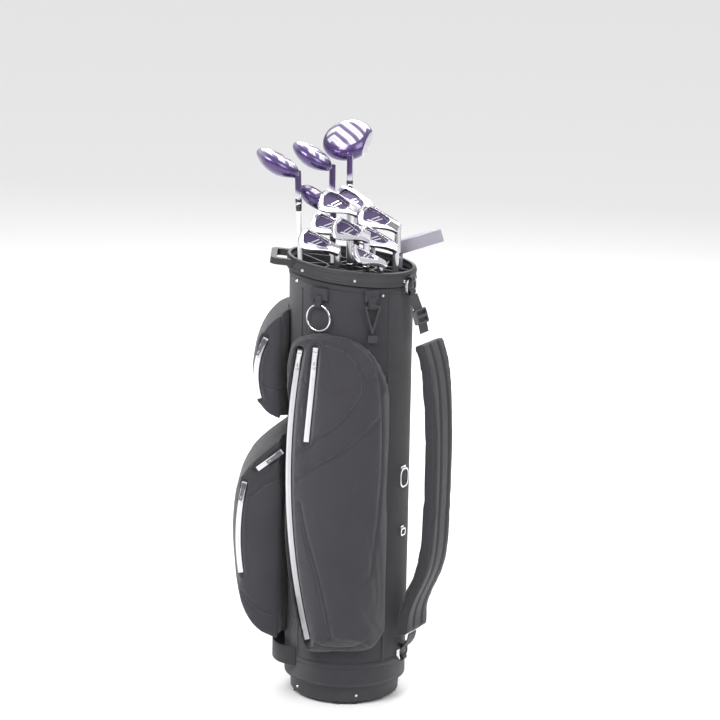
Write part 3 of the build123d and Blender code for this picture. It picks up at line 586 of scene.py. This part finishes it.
def build_shaft(name):
    """Grip, shaft and ferrule of one club, and a bright band on the ferrule."""
    axis = lift_axis[name]
    low, high = club_line(name)
    seat = (high - low).length - 0.027
    wood = name in WOODS
    publish(f"{name}_grip_rubber", lathe(grip_profile(0.262), low, axis, 28), rubber, name)
    tip = 0.0044 if wood else 0.0047
    tube = shaft_profile((high - low).length - 0.0002, 0.0073, tip, not wood)
    publish(f"{name}_shaft_tube", lathe(tube, low, axis, 28), white_paint if wood else chrome, name,
            (f"{name}_shaft",))
    foot = low + axis * (seat - 0.024)
    ring = [(0, 0.0)] + ferrule_rings + [(0.0238, 0.0)]
    publish(f"{name}_ferrule", lathe(ring, foot, axis, 28), moulded, name)
    bright = [(0.0123, 0.0050), (0.0123, 0.00655), (0.0178, 0.00675), (0.0178, 0.0050)]
    publish(f"{name}_ferrule_ring", lathe(bright, foot, axis, 28), chrome, name)


for club in CLUBS:
    build_shaft(club)
print("shafts, grips and ferrules:", len(CLUBS))


# %% Head finishes
def head_place(tree):
    """The head's own coordinates in millimetres: x to the toe, y to the back, z out of the sole."""
    store = tree.nodes.new("ShaderNodeAttribute")
    store.attribute_name = "head"
    split = tree.nodes.new("ShaderNodeSeparateXYZ")
    tree.links.new(store.outputs["Vector"], split.inputs[0])
    return split.outputs


def ramp_between(tree, value, low, high):
    """0 below low, 1 above high, straight between them."""
    node = tree.nodes.new("ShaderNodeMapRange")
    node.inputs["From Min"].default_value = low
    node.inputs["From Max"].default_value = high
    tree.links.new(value, node.inputs["Value"])
    return node.outputs[0]


def facing_mask(tree, low=0.80, high=0.90):
    """1 on the striking face, from the stored way that each spot faces."""
    store = tree.nodes.new("ShaderNodeAttribute")
    store.attribute_name = "facing"
    return ramp_between(tree, store.outputs["Fac"], low, high)


def chevrons(tree, x, y, pitch, middle, share):
    """Nested arrow bands that point to the toe."""
    aside = math_node(tree, "ABSOLUTE", math_node(tree, "SUBTRACT", y, middle))
    arm = math_node(tree, "MULTIPLY", aside, 0.75)
    run = math_node(tree, "DIVIDE", math_node(tree, "ADD", x, arm), pitch)
    return math_node(tree, "LESS_THAN", math_node(tree, "FRACT", run), share)


def wood_finish(name, middle, silver_toe):
    """Deep violet metallic lacquer, a silver sole with chevrons, and a pale grooved face."""
    material, tree, surface = blank_material(name)
    x, y, z = head_place(tree)
    grain = tree.nodes.new("ShaderNodeGroup")
    grain.node_tree = grain_group
    grain.inputs["Grains per Metre"].default_value = 2500
    flake = mix_colour(tree, grain.outputs["Height"], (0.035, 0.018, 0.085), (0.105, 0.060, 0.21))
    toe = ramp_between(tree, x, silver_toe, silver_toe + 30)
    crown = mix_colour(tree, toe, flake, (0.42, 0.39, 0.52))
    bands = chevrons(tree, x, y, 27, middle, 0.42)
    plate = mix_colour(tree, bands, (0.74, 0.73, 0.80), (0.15, 0.10, 0.24))
    fine = chevrons(tree, x, y, 9, middle, 0.12)
    plate = mix_colour(tree, fine, plate, (0.33, 0.30, 0.40))
    sole = ramp_between(tree, z, -7.0, -6.0)
    painted = mix_colour(tree, sole, crown, plate)
    face = facing_mask(tree)
    lines = math_node(tree, "LESS_THAN", math_node(tree, "FRACT", math_node(tree, "DIVIDE", z, 4.2)), 0.16)
    struck = mix_colour(tree, lines, (0.60, 0.58, 0.65), (0.26, 0.25, 0.30))
    hosel = ramp_between(tree, z, -46, -54)
    painted = mix_colour(tree, hosel, painted, (0.70, 0.68, 0.76))
    tree.links.new(mix_colour(tree, face, painted, struck), surface.inputs["Base Color"])
    rough = math_node(tree, "MULTIPLY", grain.outputs["Scuff"], 0.22)
    tree.links.new(math_node(tree, "ADD", rough, 0.14), surface.inputs["Roughness"])
    surface.inputs["Metallic"].default_value = 0.55
    surface.inputs["Coat Weight"].default_value = 0.7
    surface.inputs["Coat Roughness"].default_value = 0.06
    feed_bump(tree, surface, math_node(tree, "MULTIPLY", face, lines), -0.0004)
    return material


def iron_finish():
    """Bright plating with a brushed, grooved face and small handling marks."""
    material, tree, surface = blank_material("plated_iron")
    x, y, z = head_place(tree)
    grain = tree.nodes.new("ShaderNodeGroup")
    grain.node_tree = grain_group
    grain.inputs["Grains per Metre"].default_value = 600
    plating = mix_colour(tree, grain.outputs["Scuff"], (0.84, 0.83, 0.87), (0.68, 0.66, 0.72))
    face = facing_mask(tree)
    lines = math_node(tree, "LESS_THAN", math_node(tree, "FRACT", math_node(tree, "DIVIDE", z, 3.4)), 0.22)
    middle = math_node(tree, "MULTIPLY", ramp_between(tree, x, 16, 17), ramp_between(tree, x, 64, 63))
    scored = math_node(tree, "MULTIPLY", math_node(tree, "MULTIPLY", lines, middle), face)
    tree.links.new(mix_colour(tree, scored, plating, (0.12, 0.11, 0.14)), surface.inputs["Base Color"])
    rough = math_node(tree, "MULTIPLY", grain.outputs["Scuff"], 0.16)
    brushed = math_node(tree, "MULTIPLY", face, 0.22)
    total = math_node(tree, "ADD", math_node(tree, "ADD", rough, 0.09), brushed)
    tree.links.new(total, surface.inputs["Roughness"])
    surface.inputs["Metallic"].default_value = 0.95
    feed_bump(tree, surface, scored, -0.0003)
    return material


driver_finish = wood_finish("driver_lacquer", 45, 140)
fairway_finish = wood_finish("fairway_lacquer", 35, 62)
plated = iron_finish()
putter_finish = grained_material(
    "putter_grey", (0.30, 0.28, 0.34), (0.42, 0.40, 0.46),
    0.38, 0.2, 900, 0.00008, metallic=0.6,
)
violet_inlay = grained_material(
    "violet_inlay", (0.045, 0.030, 0.085), (0.085, 0.060, 0.14),
    0.30, 0.2, 1500, 0.00005, metallic=0.4,
)
lavender_inlay = grained_material(
    "lavender_inlay", (0.62, 0.60, 0.74), (0.74, 0.72, 0.84),
    0.3, 0.2, 1500, 0.00003, metallic=0.3,
)


# %% Heads
def store_head_axes(mesh, name):
    """Keeps each vertex's place in the head's own axes, and how squarely it faces the ball."""
    heel, toe, back, sole, loft = head_axes(name)
    struck = -(back * math.cos(loft) + sole * math.sin(loft))
    places, squareness = [], []
    for vertex in mesh.vertices:
        away = (vertex.co - heel) * 1000
        places += [away.dot(toe), away.dot(back), away.dot(sole)]
        squareness.append(max(0.0, vertex.normal.dot(struck)))
    mesh.attributes.new("head", "FLOAT_VECTOR", "POINT").data.foreach_set("vector", places)
    mesh.attributes.new("facing", "FLOAT", "POINT").data.foreach_set("value", squareness)


def build_head(name):
    """One polished head from its CAD solid."""
    wood = name in WOODS
    voxel = 0.0016 if wood else 0.0010
    rounds = 10 if wood else 3
    mesh = applied(
        cad_copy(f"{name}_head"),
        ("REMESH", {"mode": "VOXEL", "voxel_size": voxel}),
        ("SMOOTH", {"factor": 0.5, "iterations": rounds}),
    )
    store_head_axes(mesh, name)
    finish = plated
    slot = "chrome_head"
    if name == "putter":
        finish, slot = putter_finish, "putter_steel"
    elif name == "driver":
        finish, slot = driver_finish, "painted_head"
    elif wood:
        finish, slot = fairway_finish, "painted_head"
    return publish(f"{name}_cast_head", mesh, finish, name, (f"{name}_head",))


heads = {club: build_head(club) for club in CLUBS}
print("heads:", {club: len(head.data.polygons) for club, head in heads.items()})


# %% Iron inlays
CAVITY = ((15, 13), (44, 7), (66, 11), (72, 25), (65, 41), (22, 26))


def inlay(name, outline, low, high, finish, label):
    """A thin plate on the cavity floor, from low to high off the face; all in millimetres."""
    heel, toe, back, sole, loft = head_axes(name)
    out = back * math.cos(loft) + sole * math.sin(loft)
    top = out.cross(toe)
    corner = heel - back * 0.0065
    bm = bmesh.new()
    foot = [bm.verts.new(corner + (toe * x + top * y + out * low) / 1000) for x, y in outline]
    floor = bm.faces.new(foot)
    grown = bmesh.ops.extrude_face_region(bm, geom=[floor])
    raised = [item for item in grown["geom"] if isinstance(item, bmesh.types.BMVert)]
    bmesh.ops.translate(bm, verts=raised, vec=out * (high - low) / 1000)
    piece = publish(f"{name}_{label}", bm, finish, name, smooth=False)
    soft_edges(piece, 0.0003, 2)


def shrink(outline, share):
    """The outline drawn in towards its middle."""
    cx = sum(x for x, y in outline) / len(outline)
    cy = sum(y for x, y in outline) / len(outline)
    return [(cx + (x - cx) * share, cy + (y - cy) * share) for x, y in outline]


for club in CLUBS:
    if club in WOODS or club == "putter":
        continue
    inlay(club, shrink(CAVITY, 0.93), 3.0, 4.3, violet_inlay, "cavity_plate")
    inlay(club, ((30, 15), (33, 14.4), (44, 28), (41, 28)), 4.2, 5.0, chrome, "cavity_bar_a")
    inlay(club, ((37, 13.6), (40, 13), (52, 29), (49, 29)), 4.2, 5.0, chrome, "cavity_bar_b")
    inlay(club, ((30, 26), (55, 31.5), (60, 36), (36, 29.5)), 4.2, 4.9, lavender_inlay, "cavity_badge")
print("iron inlays done")

# %% [markdown]
# ## Stuffed pockets and the shoulder pad
# A pocket is cloth over air and clothes. Each starts a little inside its CAD solid, is remeshed, and is
# swollen by cloth pressure while the edges at the tube and beside the zips are held. Seams are pressed
# in afterwards, because the remesh would have lost them, and then get their piping.


# %% Cloth swelling
def near_zip(names, reach):
    """A test for points close to any of these zip tapes."""
    spots = [vertex.co for name in names for vertex in nodes[name].data.vertices]
    centres = [polygon.center for name in names for polygon in nodes[name].data.polygons]
    tree = kdtree.KDTree(len(spots) + len(centres))
    for index, spot in enumerate(spots + centres):
        tree.insert(spot, index)
    tree.balance()
    return lambda place: tree.find(place)[2] < reach


def places_of(mesh):
    """Every vertex's place and normal, read before any of them moves."""
    return [v.co.copy() for v in mesh.vertices], [n.vector.copy() for n in mesh.vertex_normals]


def set_places(mesh, places):
    """Moves all vertices at once."""
    mesh.vertices.foreach_set("co", [number for place in places for number in place])
    mesh.update()


def swollen(name, voxel, pressure, cap, held, inset=0.003):
    """The CAD solid of a stuffed piece, swollen by cloth pressure where it isn't held."""
    bm = cad_copy(name)
    mesh = applied(bm, ("REMESH", {"mode": "VOXEL", "voxel_size": voxel}), ("SMOOTH", {"iterations": 3}))
    places, normals = places_of(mesh)
    fixed = [held(place) for place in places]
    start = [p if kept else p - n * inset for p, n, kept in zip(places, normals, fixed)]
    set_places(mesh, start)
    work = bpy.data.objects.new("stuffed", mesh)
    scene.collection.objects.link(work)
    pins = work.vertex_groups.new(name="held")
    pins.add([index for index, kept in enumerate(fixed) if kept], 1.0, "REPLACE")
    cloth = work.modifiers.new("cloth", "CLOTH")
    cloth.settings.quality = 4
    cloth.settings.use_pressure = True
    cloth.settings.uniform_pressure_force = pressure
    cloth.settings.tension_stiffness = 12
    cloth.settings.compression_stiffness = 8
    cloth.settings.bending_stiffness = 0.4
    cloth.settings.vertex_group_mass = "held"
    cloth.settings.effector_weights.gravity = 0
    for step in range(1, 21):
        scene.frame_set(step)
    moved = work.evaluated_get(bpy.context.evaluated_depsgraph_get()).data
    ended = []
    for index, place in enumerate(start):
        shift = moved.vertices[index].co - place
        if shift.length > cap:
            shift = shift * (cap / shift.length)
        ended.append(place + shift)
    set_places(mesh, ended)
    work.modifiers.remove(cloth)
    scene.frame_set(1)
    divide = work.modifiers.new("divide", "SUBSURF")
    divide.levels = 1
    divide.render_levels = 1
    result = bpy.data.meshes.new_from_object(work.evaluated_get(bpy.context.evaluated_depsgraph_get()))
    bpy.data.objects.remove(work)
    return result


# %% Zip lines
# name: (depth of the tape's front, points along the zip in x and z)
ZIP_LINES = {
    "apparel_zip": (0.1060, ((-0.099, 0.742), (-0.118, 0.430), (-0.076, 0.138))),
    "valuables_zip": (0.1380, ((-0.068, 0.752), (-0.084, 0.560))),
    "upper_zip": (0.0770, ((-0.168, 0.756), (-0.187, 0.690), (-0.180, 0.632))),
    "ball_zip": (0.0900, ((-0.207, 0.462), (-0.219, 0.370), (-0.213, 0.272))),
    "ball_top_zip": (0.0930, ((-0.132, 0.528), (-0.182, 0.490))),
}


def arc_through(points, spacing):
    """Points on the arc through three points, or on the line through two."""
    flat = [Vector((x, 0, z)) for x, z in points]
    if len(flat) == 2:
        count = round((flat[1] - flat[0]).length / spacing)
        return [flat[0].lerp(flat[1], i / count) for i in range(count + 1)]
    (ax, az), (bx, bz), (cx, cz) = points
    d = 2 * (ax * (bz - cz) + bx * (cz - az) + cx * (az - bz))
    a2, b2, c2 = ax * ax + az * az, bx * bx + bz * bz, cx * cx + cz * cz
    ux = (a2 * (bz - cz) + b2 * (cz - az) + c2 * (az - bz)) / d
    uz = (a2 * (cx - bx) + b2 * (ax - cx) + c2 * (bx - ax)) / d
    radius = math.hypot(ax - ux, az - uz)
    first = math.atan2(az - uz, ax - ux)
    turn = (math.atan2(cz - uz, cx - ux) - first + math.pi) % math.tau - math.pi
    count = round(abs(turn) * radius / spacing)
    angles = [first + turn * i / count for i in range(count + 1)]
    return [Vector((ux + radius * math.cos(t), 0, uz + radius * math.sin(t))) for t in angles]


# %% Seams
def onto(mesh, route, toward):
    """Drops a route onto a mesh along a direction."""
    tree = BVHTree.FromPolygons([v.co for v in mesh.vertices], [p.vertices for p in mesh.polygons])
    away = Vector(toward).normalized()
    laid = []
    for place in route:
        hit, normal, index, distance = tree.ray_cast(Vector(place) - away * 0.6, away)
        if hit is not None:
            laid.append((hit, normal))
    return laid


front = (0, 1, 0)


def seam_on(mesh, path):
    """A seam drawn from the front as (x, z) points and laid on the cloth."""
    return onto(mesh, smooth_route([(x, 0, z) for x, z in path], 0.0018), front)


def press_seams(mesh, seams, depth, width):
    """Sinks the mesh along seam lines, as the thread pulls the cloth in."""
    spots = [hit for seam in seams for hit, normal in seam]
    tree = kdtree.KDTree(len(spots))
    for index, spot in enumerate(spots):
        tree.insert(spot, index)
    tree.balance()
    places, normals = places_of(mesh)
    for index, place in enumerate(places):
        gap = tree.find(place)[2]
        if gap < width:
            share = 1 - gap / width
            places[index] = place - normals[index] * depth * share * share * (3 - 2 * share)
    set_places(mesh, places)


def crumple(mesh, amount, stretch=(1, 1, 1), held=None):
    """Low uneven folds in the cloth from layered noise."""
    places, normals = places_of(mesh)
    for index, place in enumerate(places):
        if held and held(place):
            continue
        spot = Vector([number * share for number, share in zip(place, stretch)])
        swell = noise.noise(spot * 14) + 0.5 * noise.noise(spot * 34)
        places[index] = place + normals[index] * amount * swell
    set_places(mesh, places)


def clear_zips(mesh, tapes, half=0.0062, soft=0.006):
    """Sinks the front of the cloth behind each zip's tape, so that the zip shows from end to end."""
    places, normals = places_of(mesh)
    for tape in tapes:
        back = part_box(tape)[1][1] + 0.0004
        flat = arc_through(ZIP_LINES[tape[:-5]][1], 0.002)
        tree = kdtree.KDTree(len(flat))
        for index, spot in enumerate(flat):
            tree.insert(spot, index)
        tree.balance()
        for index, place in enumerate(places):
            if place.y > back + 0.001 or normals[index].y > 0.1:
                continue
            gap = tree.find((place.x, 0, place.z))[2] - half
            if gap < soft:
                share = 1.0 if gap < 0 else (1 - gap / soft) ** 2 * (1 + 2 * gap / soft)
                places[index] = Vector((place.x, place.y + (back - place.y) * share, place.z))
    set_places(mesh, places)


def piping(name, seam, radius, finish=piping_cloth, sink=0.3):
    """A thin corded seam, half sunk into the cloth."""
    route = [hit - normal * radius * sink for hit, normal in seam]
    turns = [normal for hit, normal in seam]
    bm = sweep(route, round_section(radius, 6), tuple(sum(turns, Vector()).normalized()))
    return publish(name, bm, finish)


def stitches(name, seam, offset, finish, length=0.0034, gap=0.0022):
    """A row of short thread stitches beside a seam."""
    parts = bmesh.new()
    travelled = 0.0
    for (a, na), (b, nb) in zip(seam, seam[1:]):
        step = b - a
        if step.length < 0.00001:
            continue
        travelled += step.length
        if travelled < length + gap:
            continue
        travelled = 0.0
        along = step.normalized()
        side = along.cross(na).normalized()
        middle = a + side * offset + na * 0.0002
        frame_turn = Matrix((along, side, along.cross(side))).transposed().to_4x4()
        made = bmesh.ops.create_cube(parts, size=1)
        bmesh.ops.scale(parts, verts=made["verts"], vec=(length, 0.0009, 0.0007))
        bmesh.ops.transform(parts, matrix=Matrix.Translation(middle) @ frame_turn, verts=made["verts"])
    return publish(name, parts, finish, smooth=False)


thread = cloth_material("seam_thread", (0.08, 0.075, 0.09), (0.16, 0.15, 0.18), 2500, sheen=0.1)


# %% Apparel pocket
def at_tube(reach):
    """A test for points that lie against the tube."""
    return lambda place: math.hypot(place.x, place.y) < reach


beside_long_zips = near_zip(("apparel_zip_tape", "valuables_zip_tape"), 0.012)
against_tube = at_tube(0.1275)
held_front = lambda place: beside_long_zips(place) or against_tube(place)
apparel = swollen("apparel_pocket", 0.0055, 4.0, 0.006, held_front)
APPAREL_SEAMS = {
    "outer_arc": ((-0.075, 0.772), (-0.030, 0.775), (0.000, 0.768), (0.030, 0.748), (0.050, 0.722),
                  (0.060, 0.690), (0.066, 0.628), (0.068, 0.516), (0.062, 0.400), (0.050, 0.290)),
    "inner_arc": ((-0.050, 0.762), (-0.0149, 0.750), (0.007, 0.735), (0.0233, 0.7083), (0.0276, 0.686),
                  (0.0202, 0.6535), (-0.0204, 0.6026), (-0.060, 0.570), (-0.080, 0.548), (-0.100, 0.536)),
    "sweep": ((0.0640, 0.612), (0.0196, 0.5713), (-0.0195, 0.5426), (-0.0666, 0.5098), (-0.100, 0.480)),
    "lower": ((-0.0950, 0.430), (-0.0807, 0.3654), (-0.0556, 0.280), (-0.0279, 0.1584)),
    "hem": ((-0.0700, 0.1461), (-0.0450, 0.137), (-0.0154, 0.1334), (0.0169, 0.1345), (0.0430, 0.1504)),
}
laid = {}
for label, path in APPAREL_SEAMS.items():
    laid[label] = seam_on(apparel, path)
press_seams(apparel, list(laid.values()), 0.0022, 0.011)
folds = [((0.020, 0.470), (0.0362, 0.4128), (0.0539, 0.3213), (0.0640, 0.2376)),
         ((0.0580, 0.3704), (0.0680, 0.300), (0.0720, 0.220)),
         ((-0.020, 0.330), (0.010, 0.300), (0.040, 0.285)),
         ((-0.050, 0.690), (-0.020, 0.672), (0.010, 0.668))]
laid_folds = [onto(apparel, smooth_route([(x, 0, z) for x, z in fold]), front) for fold in folds]
press_seams(apparel, laid_folds, 0.002, 0.016)
crumple(apparel, 0.0014, (1, 1, 0.55), held_front)
clear_zips(apparel, ("apparel_zip_tape", "valuables_zip_tape"))
publish("apparel_pocket_cloth", apparel, nylon, "bag", ("apparel_pocket",))
for label, path in APPAREL_SEAMS.items():
    seam = seam_on(apparel, path)
    piping(f"apparel_{label}_piping", seam, 0.0011)
    stitches(f"apparel_{label}_stitches", seam, 0.0032, thread)
print("apparel pocket", len(apparel.polygons))

# %% Side pockets
beside_side_zips = near_zip(("upper_zip_tape", "ball_zip_tape", "ball_top_zip_tape"), 0.011)
inner_side = at_tube(0.129)
held_side = lambda place: beside_side_zips(place) or inner_side(place) or place.x > -0.1
SIDE_SEAMS = {
    "ball": {"panel": ((-0.2208, 0.4205), (-0.1926, 0.4352), (-0.1665, 0.4582), (-0.140, 0.470)),
             "low": ((-0.2100, 0.230), (-0.180, 0.200), (-0.145, 0.185))},
    "upper": {"panel": ((-0.180, 0.665), (-0.160, 0.655), (-0.135, 0.650))},
}
for pocket, seams in SIDE_SEAMS.items():
    side = swollen(f"{pocket}_pocket", 0.0055, 4.0, 0.006, held_side)
    laid = [seam_on(side, path) for path in seams.values()]
    press_seams(side, laid, 0.0018, 0.010)
    crumple(side, 0.0014, (1, 1, 0.6), held_side)
    clear_zips(side, [name for name in nodes if name.endswith("_tape") and name.startswith(pocket)])
    publish(f"{pocket}_pocket_cloth", side, nylon, "bag", (f"{pocket}_pocket",))
    for label, path in seams.items():
        seam = seam_on(side, path)
        piping(f"{pocket}_{label}_piping", seam, 0.0009)
        stitches(f"{pocket}_{label}_stitches", seam, 0.003, thread)
    print(pocket, "pocket", len(side.polygons))

# %% Shoulder pad
pad_way = Vector((math.cos(math.radians(-28)), math.sin(math.radians(-28)), 0))
pad_side = Vector((-pad_way.y, pad_way.x, 0))
at_webbing = near_zip(("strap_webbing",), 0.010)
pad = swollen("strap_pad", 0.005, 3.0, 0.004, at_webbing, 0.002)
PAD_LINE = ((0.172, 0.752), (0.190, 0.706), (0.202, 0.620), (0.206, 0.500), (0.203, 0.380), (0.191, 0.290),
            (0.166, 0.232), (0.156, 0.190), (0.156, 0.158))


def pad_route(across, spacing=0.0018):
    """A line down the pad, offset across it, a little outside its face."""
    line = [pad_way * (r + 0.05) + pad_side * across + Vector((0, 0, z)) for r, z in PAD_LINE]
    return smooth_route(line, spacing)


PAD_CHANNELS = (-0.017, 0.017)
press_seams(pad, [onto(pad, pad_route(across), -pad_way) for across in PAD_CHANNELS], 0.0030, 0.009)
crumple(pad, 0.0008, (1, 1, 0.5))
publish("strap_pad_cloth", pad, strap_cloth, "bag", ("strap_pad",))
for index, across in enumerate(PAD_CHANNELS):
    seam = onto(pad, pad_route(across), -pad_way)
    stitches(f"strap_channel_{index}_stitches", seam, 0.0, thread)
for index, across in enumerate((-0.041, 0.041)):
    seam = onto(pad, pad_route(across), -pad_way)
    piping(f"strap_edge_{index}_piping", seam, 0.0012)
print("shoulder pad", len(pad.polygons))

# %% [markdown]
# ## The tube and its rim
# The tube is nylon stretched over a stiff liner, so it is nearly round, with slow dents, a turned hem at
# the foot and sewn joins. It is rebuilt as rows of rings that end on the tilted rim. The moulded cuff
# keeps its CAD shape and gets the thin ribs that hide its fixing line.

# %% Tube cloth
RIM_SLOPE = math.tan(math.radians(5.7))


def tube_radius(angle, z):
    """The cloth's radius: the full size less slow dents and short creases near the foot."""
    spot = Vector((math.cos(angle) * 0.125, math.sin(angle) * 0.125, z * 0.6))
    dent = 0.5 + 0.5 * noise.noise(spot * 16)
    low_down = math.exp(-((z - 0.105) / 0.035) ** 2)
    crease = max(0.0, noise.noise(Vector((angle * 1.6, z * 55, 3.1)))) * low_down
    return 0.1249 - 0.0009 * dent - 0.0012 * crease


def tube_cloth(around=168, up=190):
    """Outer and inner faces of the tube, joined at both rims."""
    bm = bmesh.new()
    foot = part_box("bag_body")[0][2]
    walls = []
    for inner in (False, True):
        rings = []
        for level in range(up + 1 if not inner else 2):
            share = level / up if not inner else level
            ring = []
            for step in range(around):
                angle = math.tau * step / around
                lip = 0.899 - 0.125 * math.cos(angle) * RIM_SLOPE
                z = foot + (lip - foot) * share
                radius = 0.1226 if inner else tube_radius(angle, z)
                ring.append(bm.verts.new((radius * math.cos(angle), radius * math.sin(angle), z)))
            rings.append(ring)
        walls.append(rings)
    outer, inside = walls
    stacks = list(zip(outer, outer[1:]))
    stacks += [(outer[-1], inside[-1]), (inside[-1], inside[0]), (inside[0], outer[0])]
    for low, high in stacks:
        for i in range(around):
            j = (i + 1) % around
            bm.faces.new((low[i], low[j], high[j], high[i]))
    return bm


publish("tube_cloth", tube_cloth(), nylon, "bag", ("bag_body",))


# %% Hems, joins and ribs
def ring_route(radius, height, slope=0.0, steps=160):
    """A closed ring round the bag, level or tilted like the rim."""
    turns = [math.tau * i / steps for i in range(steps + 1)]
    flat = [(radius * math.cos(t), radius * math.sin(t)) for t in turns]
    return [Vector((x, y, height - slope * x)) for x, y in flat]


def band(name, route, width, thick, finish, bulge=0.0):
    """A flat band laid along a route, facing out from the bag's axis."""
    return publish(name, sweep(route, flat_section(width, thick, bulge), radial), finish)


band("foot_hem", ring_route(0.1248, 0.088), 0.010, 0.0016, nylon, 0.0005)
band("rim_hem", ring_route(0.1250, 0.869, RIM_SLOPE), 0.011, 0.0012, webbing_cloth, 0.0003)
for index, height in enumerate((0.8835, 0.8985)):
    rib = ring_route(0.1300, height, RIM_SLOPE)
    band(f"cuff_rib_{index}", rib, 0.0026, 0.0016, moulded, 0.0004)
for index, turn in enumerate((-141, -52, 38, 128)):
    angle = math.radians(turn)
    x, y = 0.1248 * math.cos(angle), 0.1248 * math.sin(angle)
    line = [Vector((x, y, z / 1000)) for z in range(92, 862, 6)]
    band(f"tube_join_{index}", line, 0.006, 0.0012, piping_cloth, 0.0004)
print("tube, hems and ribs done")

# %% [markdown]
# ## Zips and fittings
# A coil zip is two rows of small loops that lock on a centre line. Each tooth is one bevelled block, laid
# alternately left and right, because a few hundred of them must stay light.

# %% Zip teeth
zip_coil = grained_material(
    "white_zip_coil", (0.58, 0.57, 0.62), (0.80, 0.79, 0.83),
    0.3, 0.2, 1500, 0.00005,
)


def zip_teeth(name):
    """Two interlocked rows of teeth on a zip's tape."""
    depth, path = ZIP_LINES[name]
    line = arc_through(path, 0.0021)
    bm = bmesh.new()
    for index in range(2, len(line) - 2):
        along = (line[index + 1] - line[index - 1]).normalized()
        side = along.cross(Vector((0, -1, 0)))
        middle = line[index] + side * (0.0007 if index % 2 else -0.0007) + Vector((0, -depth - 0.0002, 0))
        made = bmesh.ops.create_cube(bm, size=1)
        bmesh.ops.scale(bm, verts=made["verts"], vec=(0.0026, 0.0013, 0.0011))
        turn = Matrix((side, along, side.cross(along))).transposed().to_4x4()
        bmesh.ops.transform(bm, matrix=Matrix.Translation(middle) @ turn, verts=made["verts"])
    piece = publish(f"{name}_teeth", bm, zip_coil, smooth=False)
    soft_edges(piece, 0.0002, 1)


for name in ZIP_LINES:
    zip_teeth(name)
print("zip teeth done")

# %% Dress the carried pieces
dress(zip_cloth, *[name for name in nodes if name.endswith("_tape")])
dress(chrome, "strap_rings", "towel_ring", "rivets_and_snaps", "apparel_zip_slider", "apparel_zip_pull",
      "valuables_zip_slider", "valuables_zip_pull")
dress(gunmetal, "strap_buckle", "upper_zip_slider", "ball_zip_slider", "ball_top_zip_slider")
dress(moulded, "top_cuff", "cuff_handle", "base_cup", "club_divider", "accessory_clip", "clip_loop")
dress(webbing_cloth, "strap_webbing", "webbing_tabs", "lower_handle")
dress(rubber, "base_feet")
dress(foam, "floor_pad")
dress(satin_steel, "stay_rods")
for name, width in {"top_cuff": 0.0012, "cuff_handle": 0.002, "base_cup": 0.0015, "strap_buckle": 0.0006,
                    "lower_handle": 0.0006, "strap_webbing": 0.0003, "webbing_tabs": 0.0003}.items():
    soft_edges(nodes[name], width, 2)
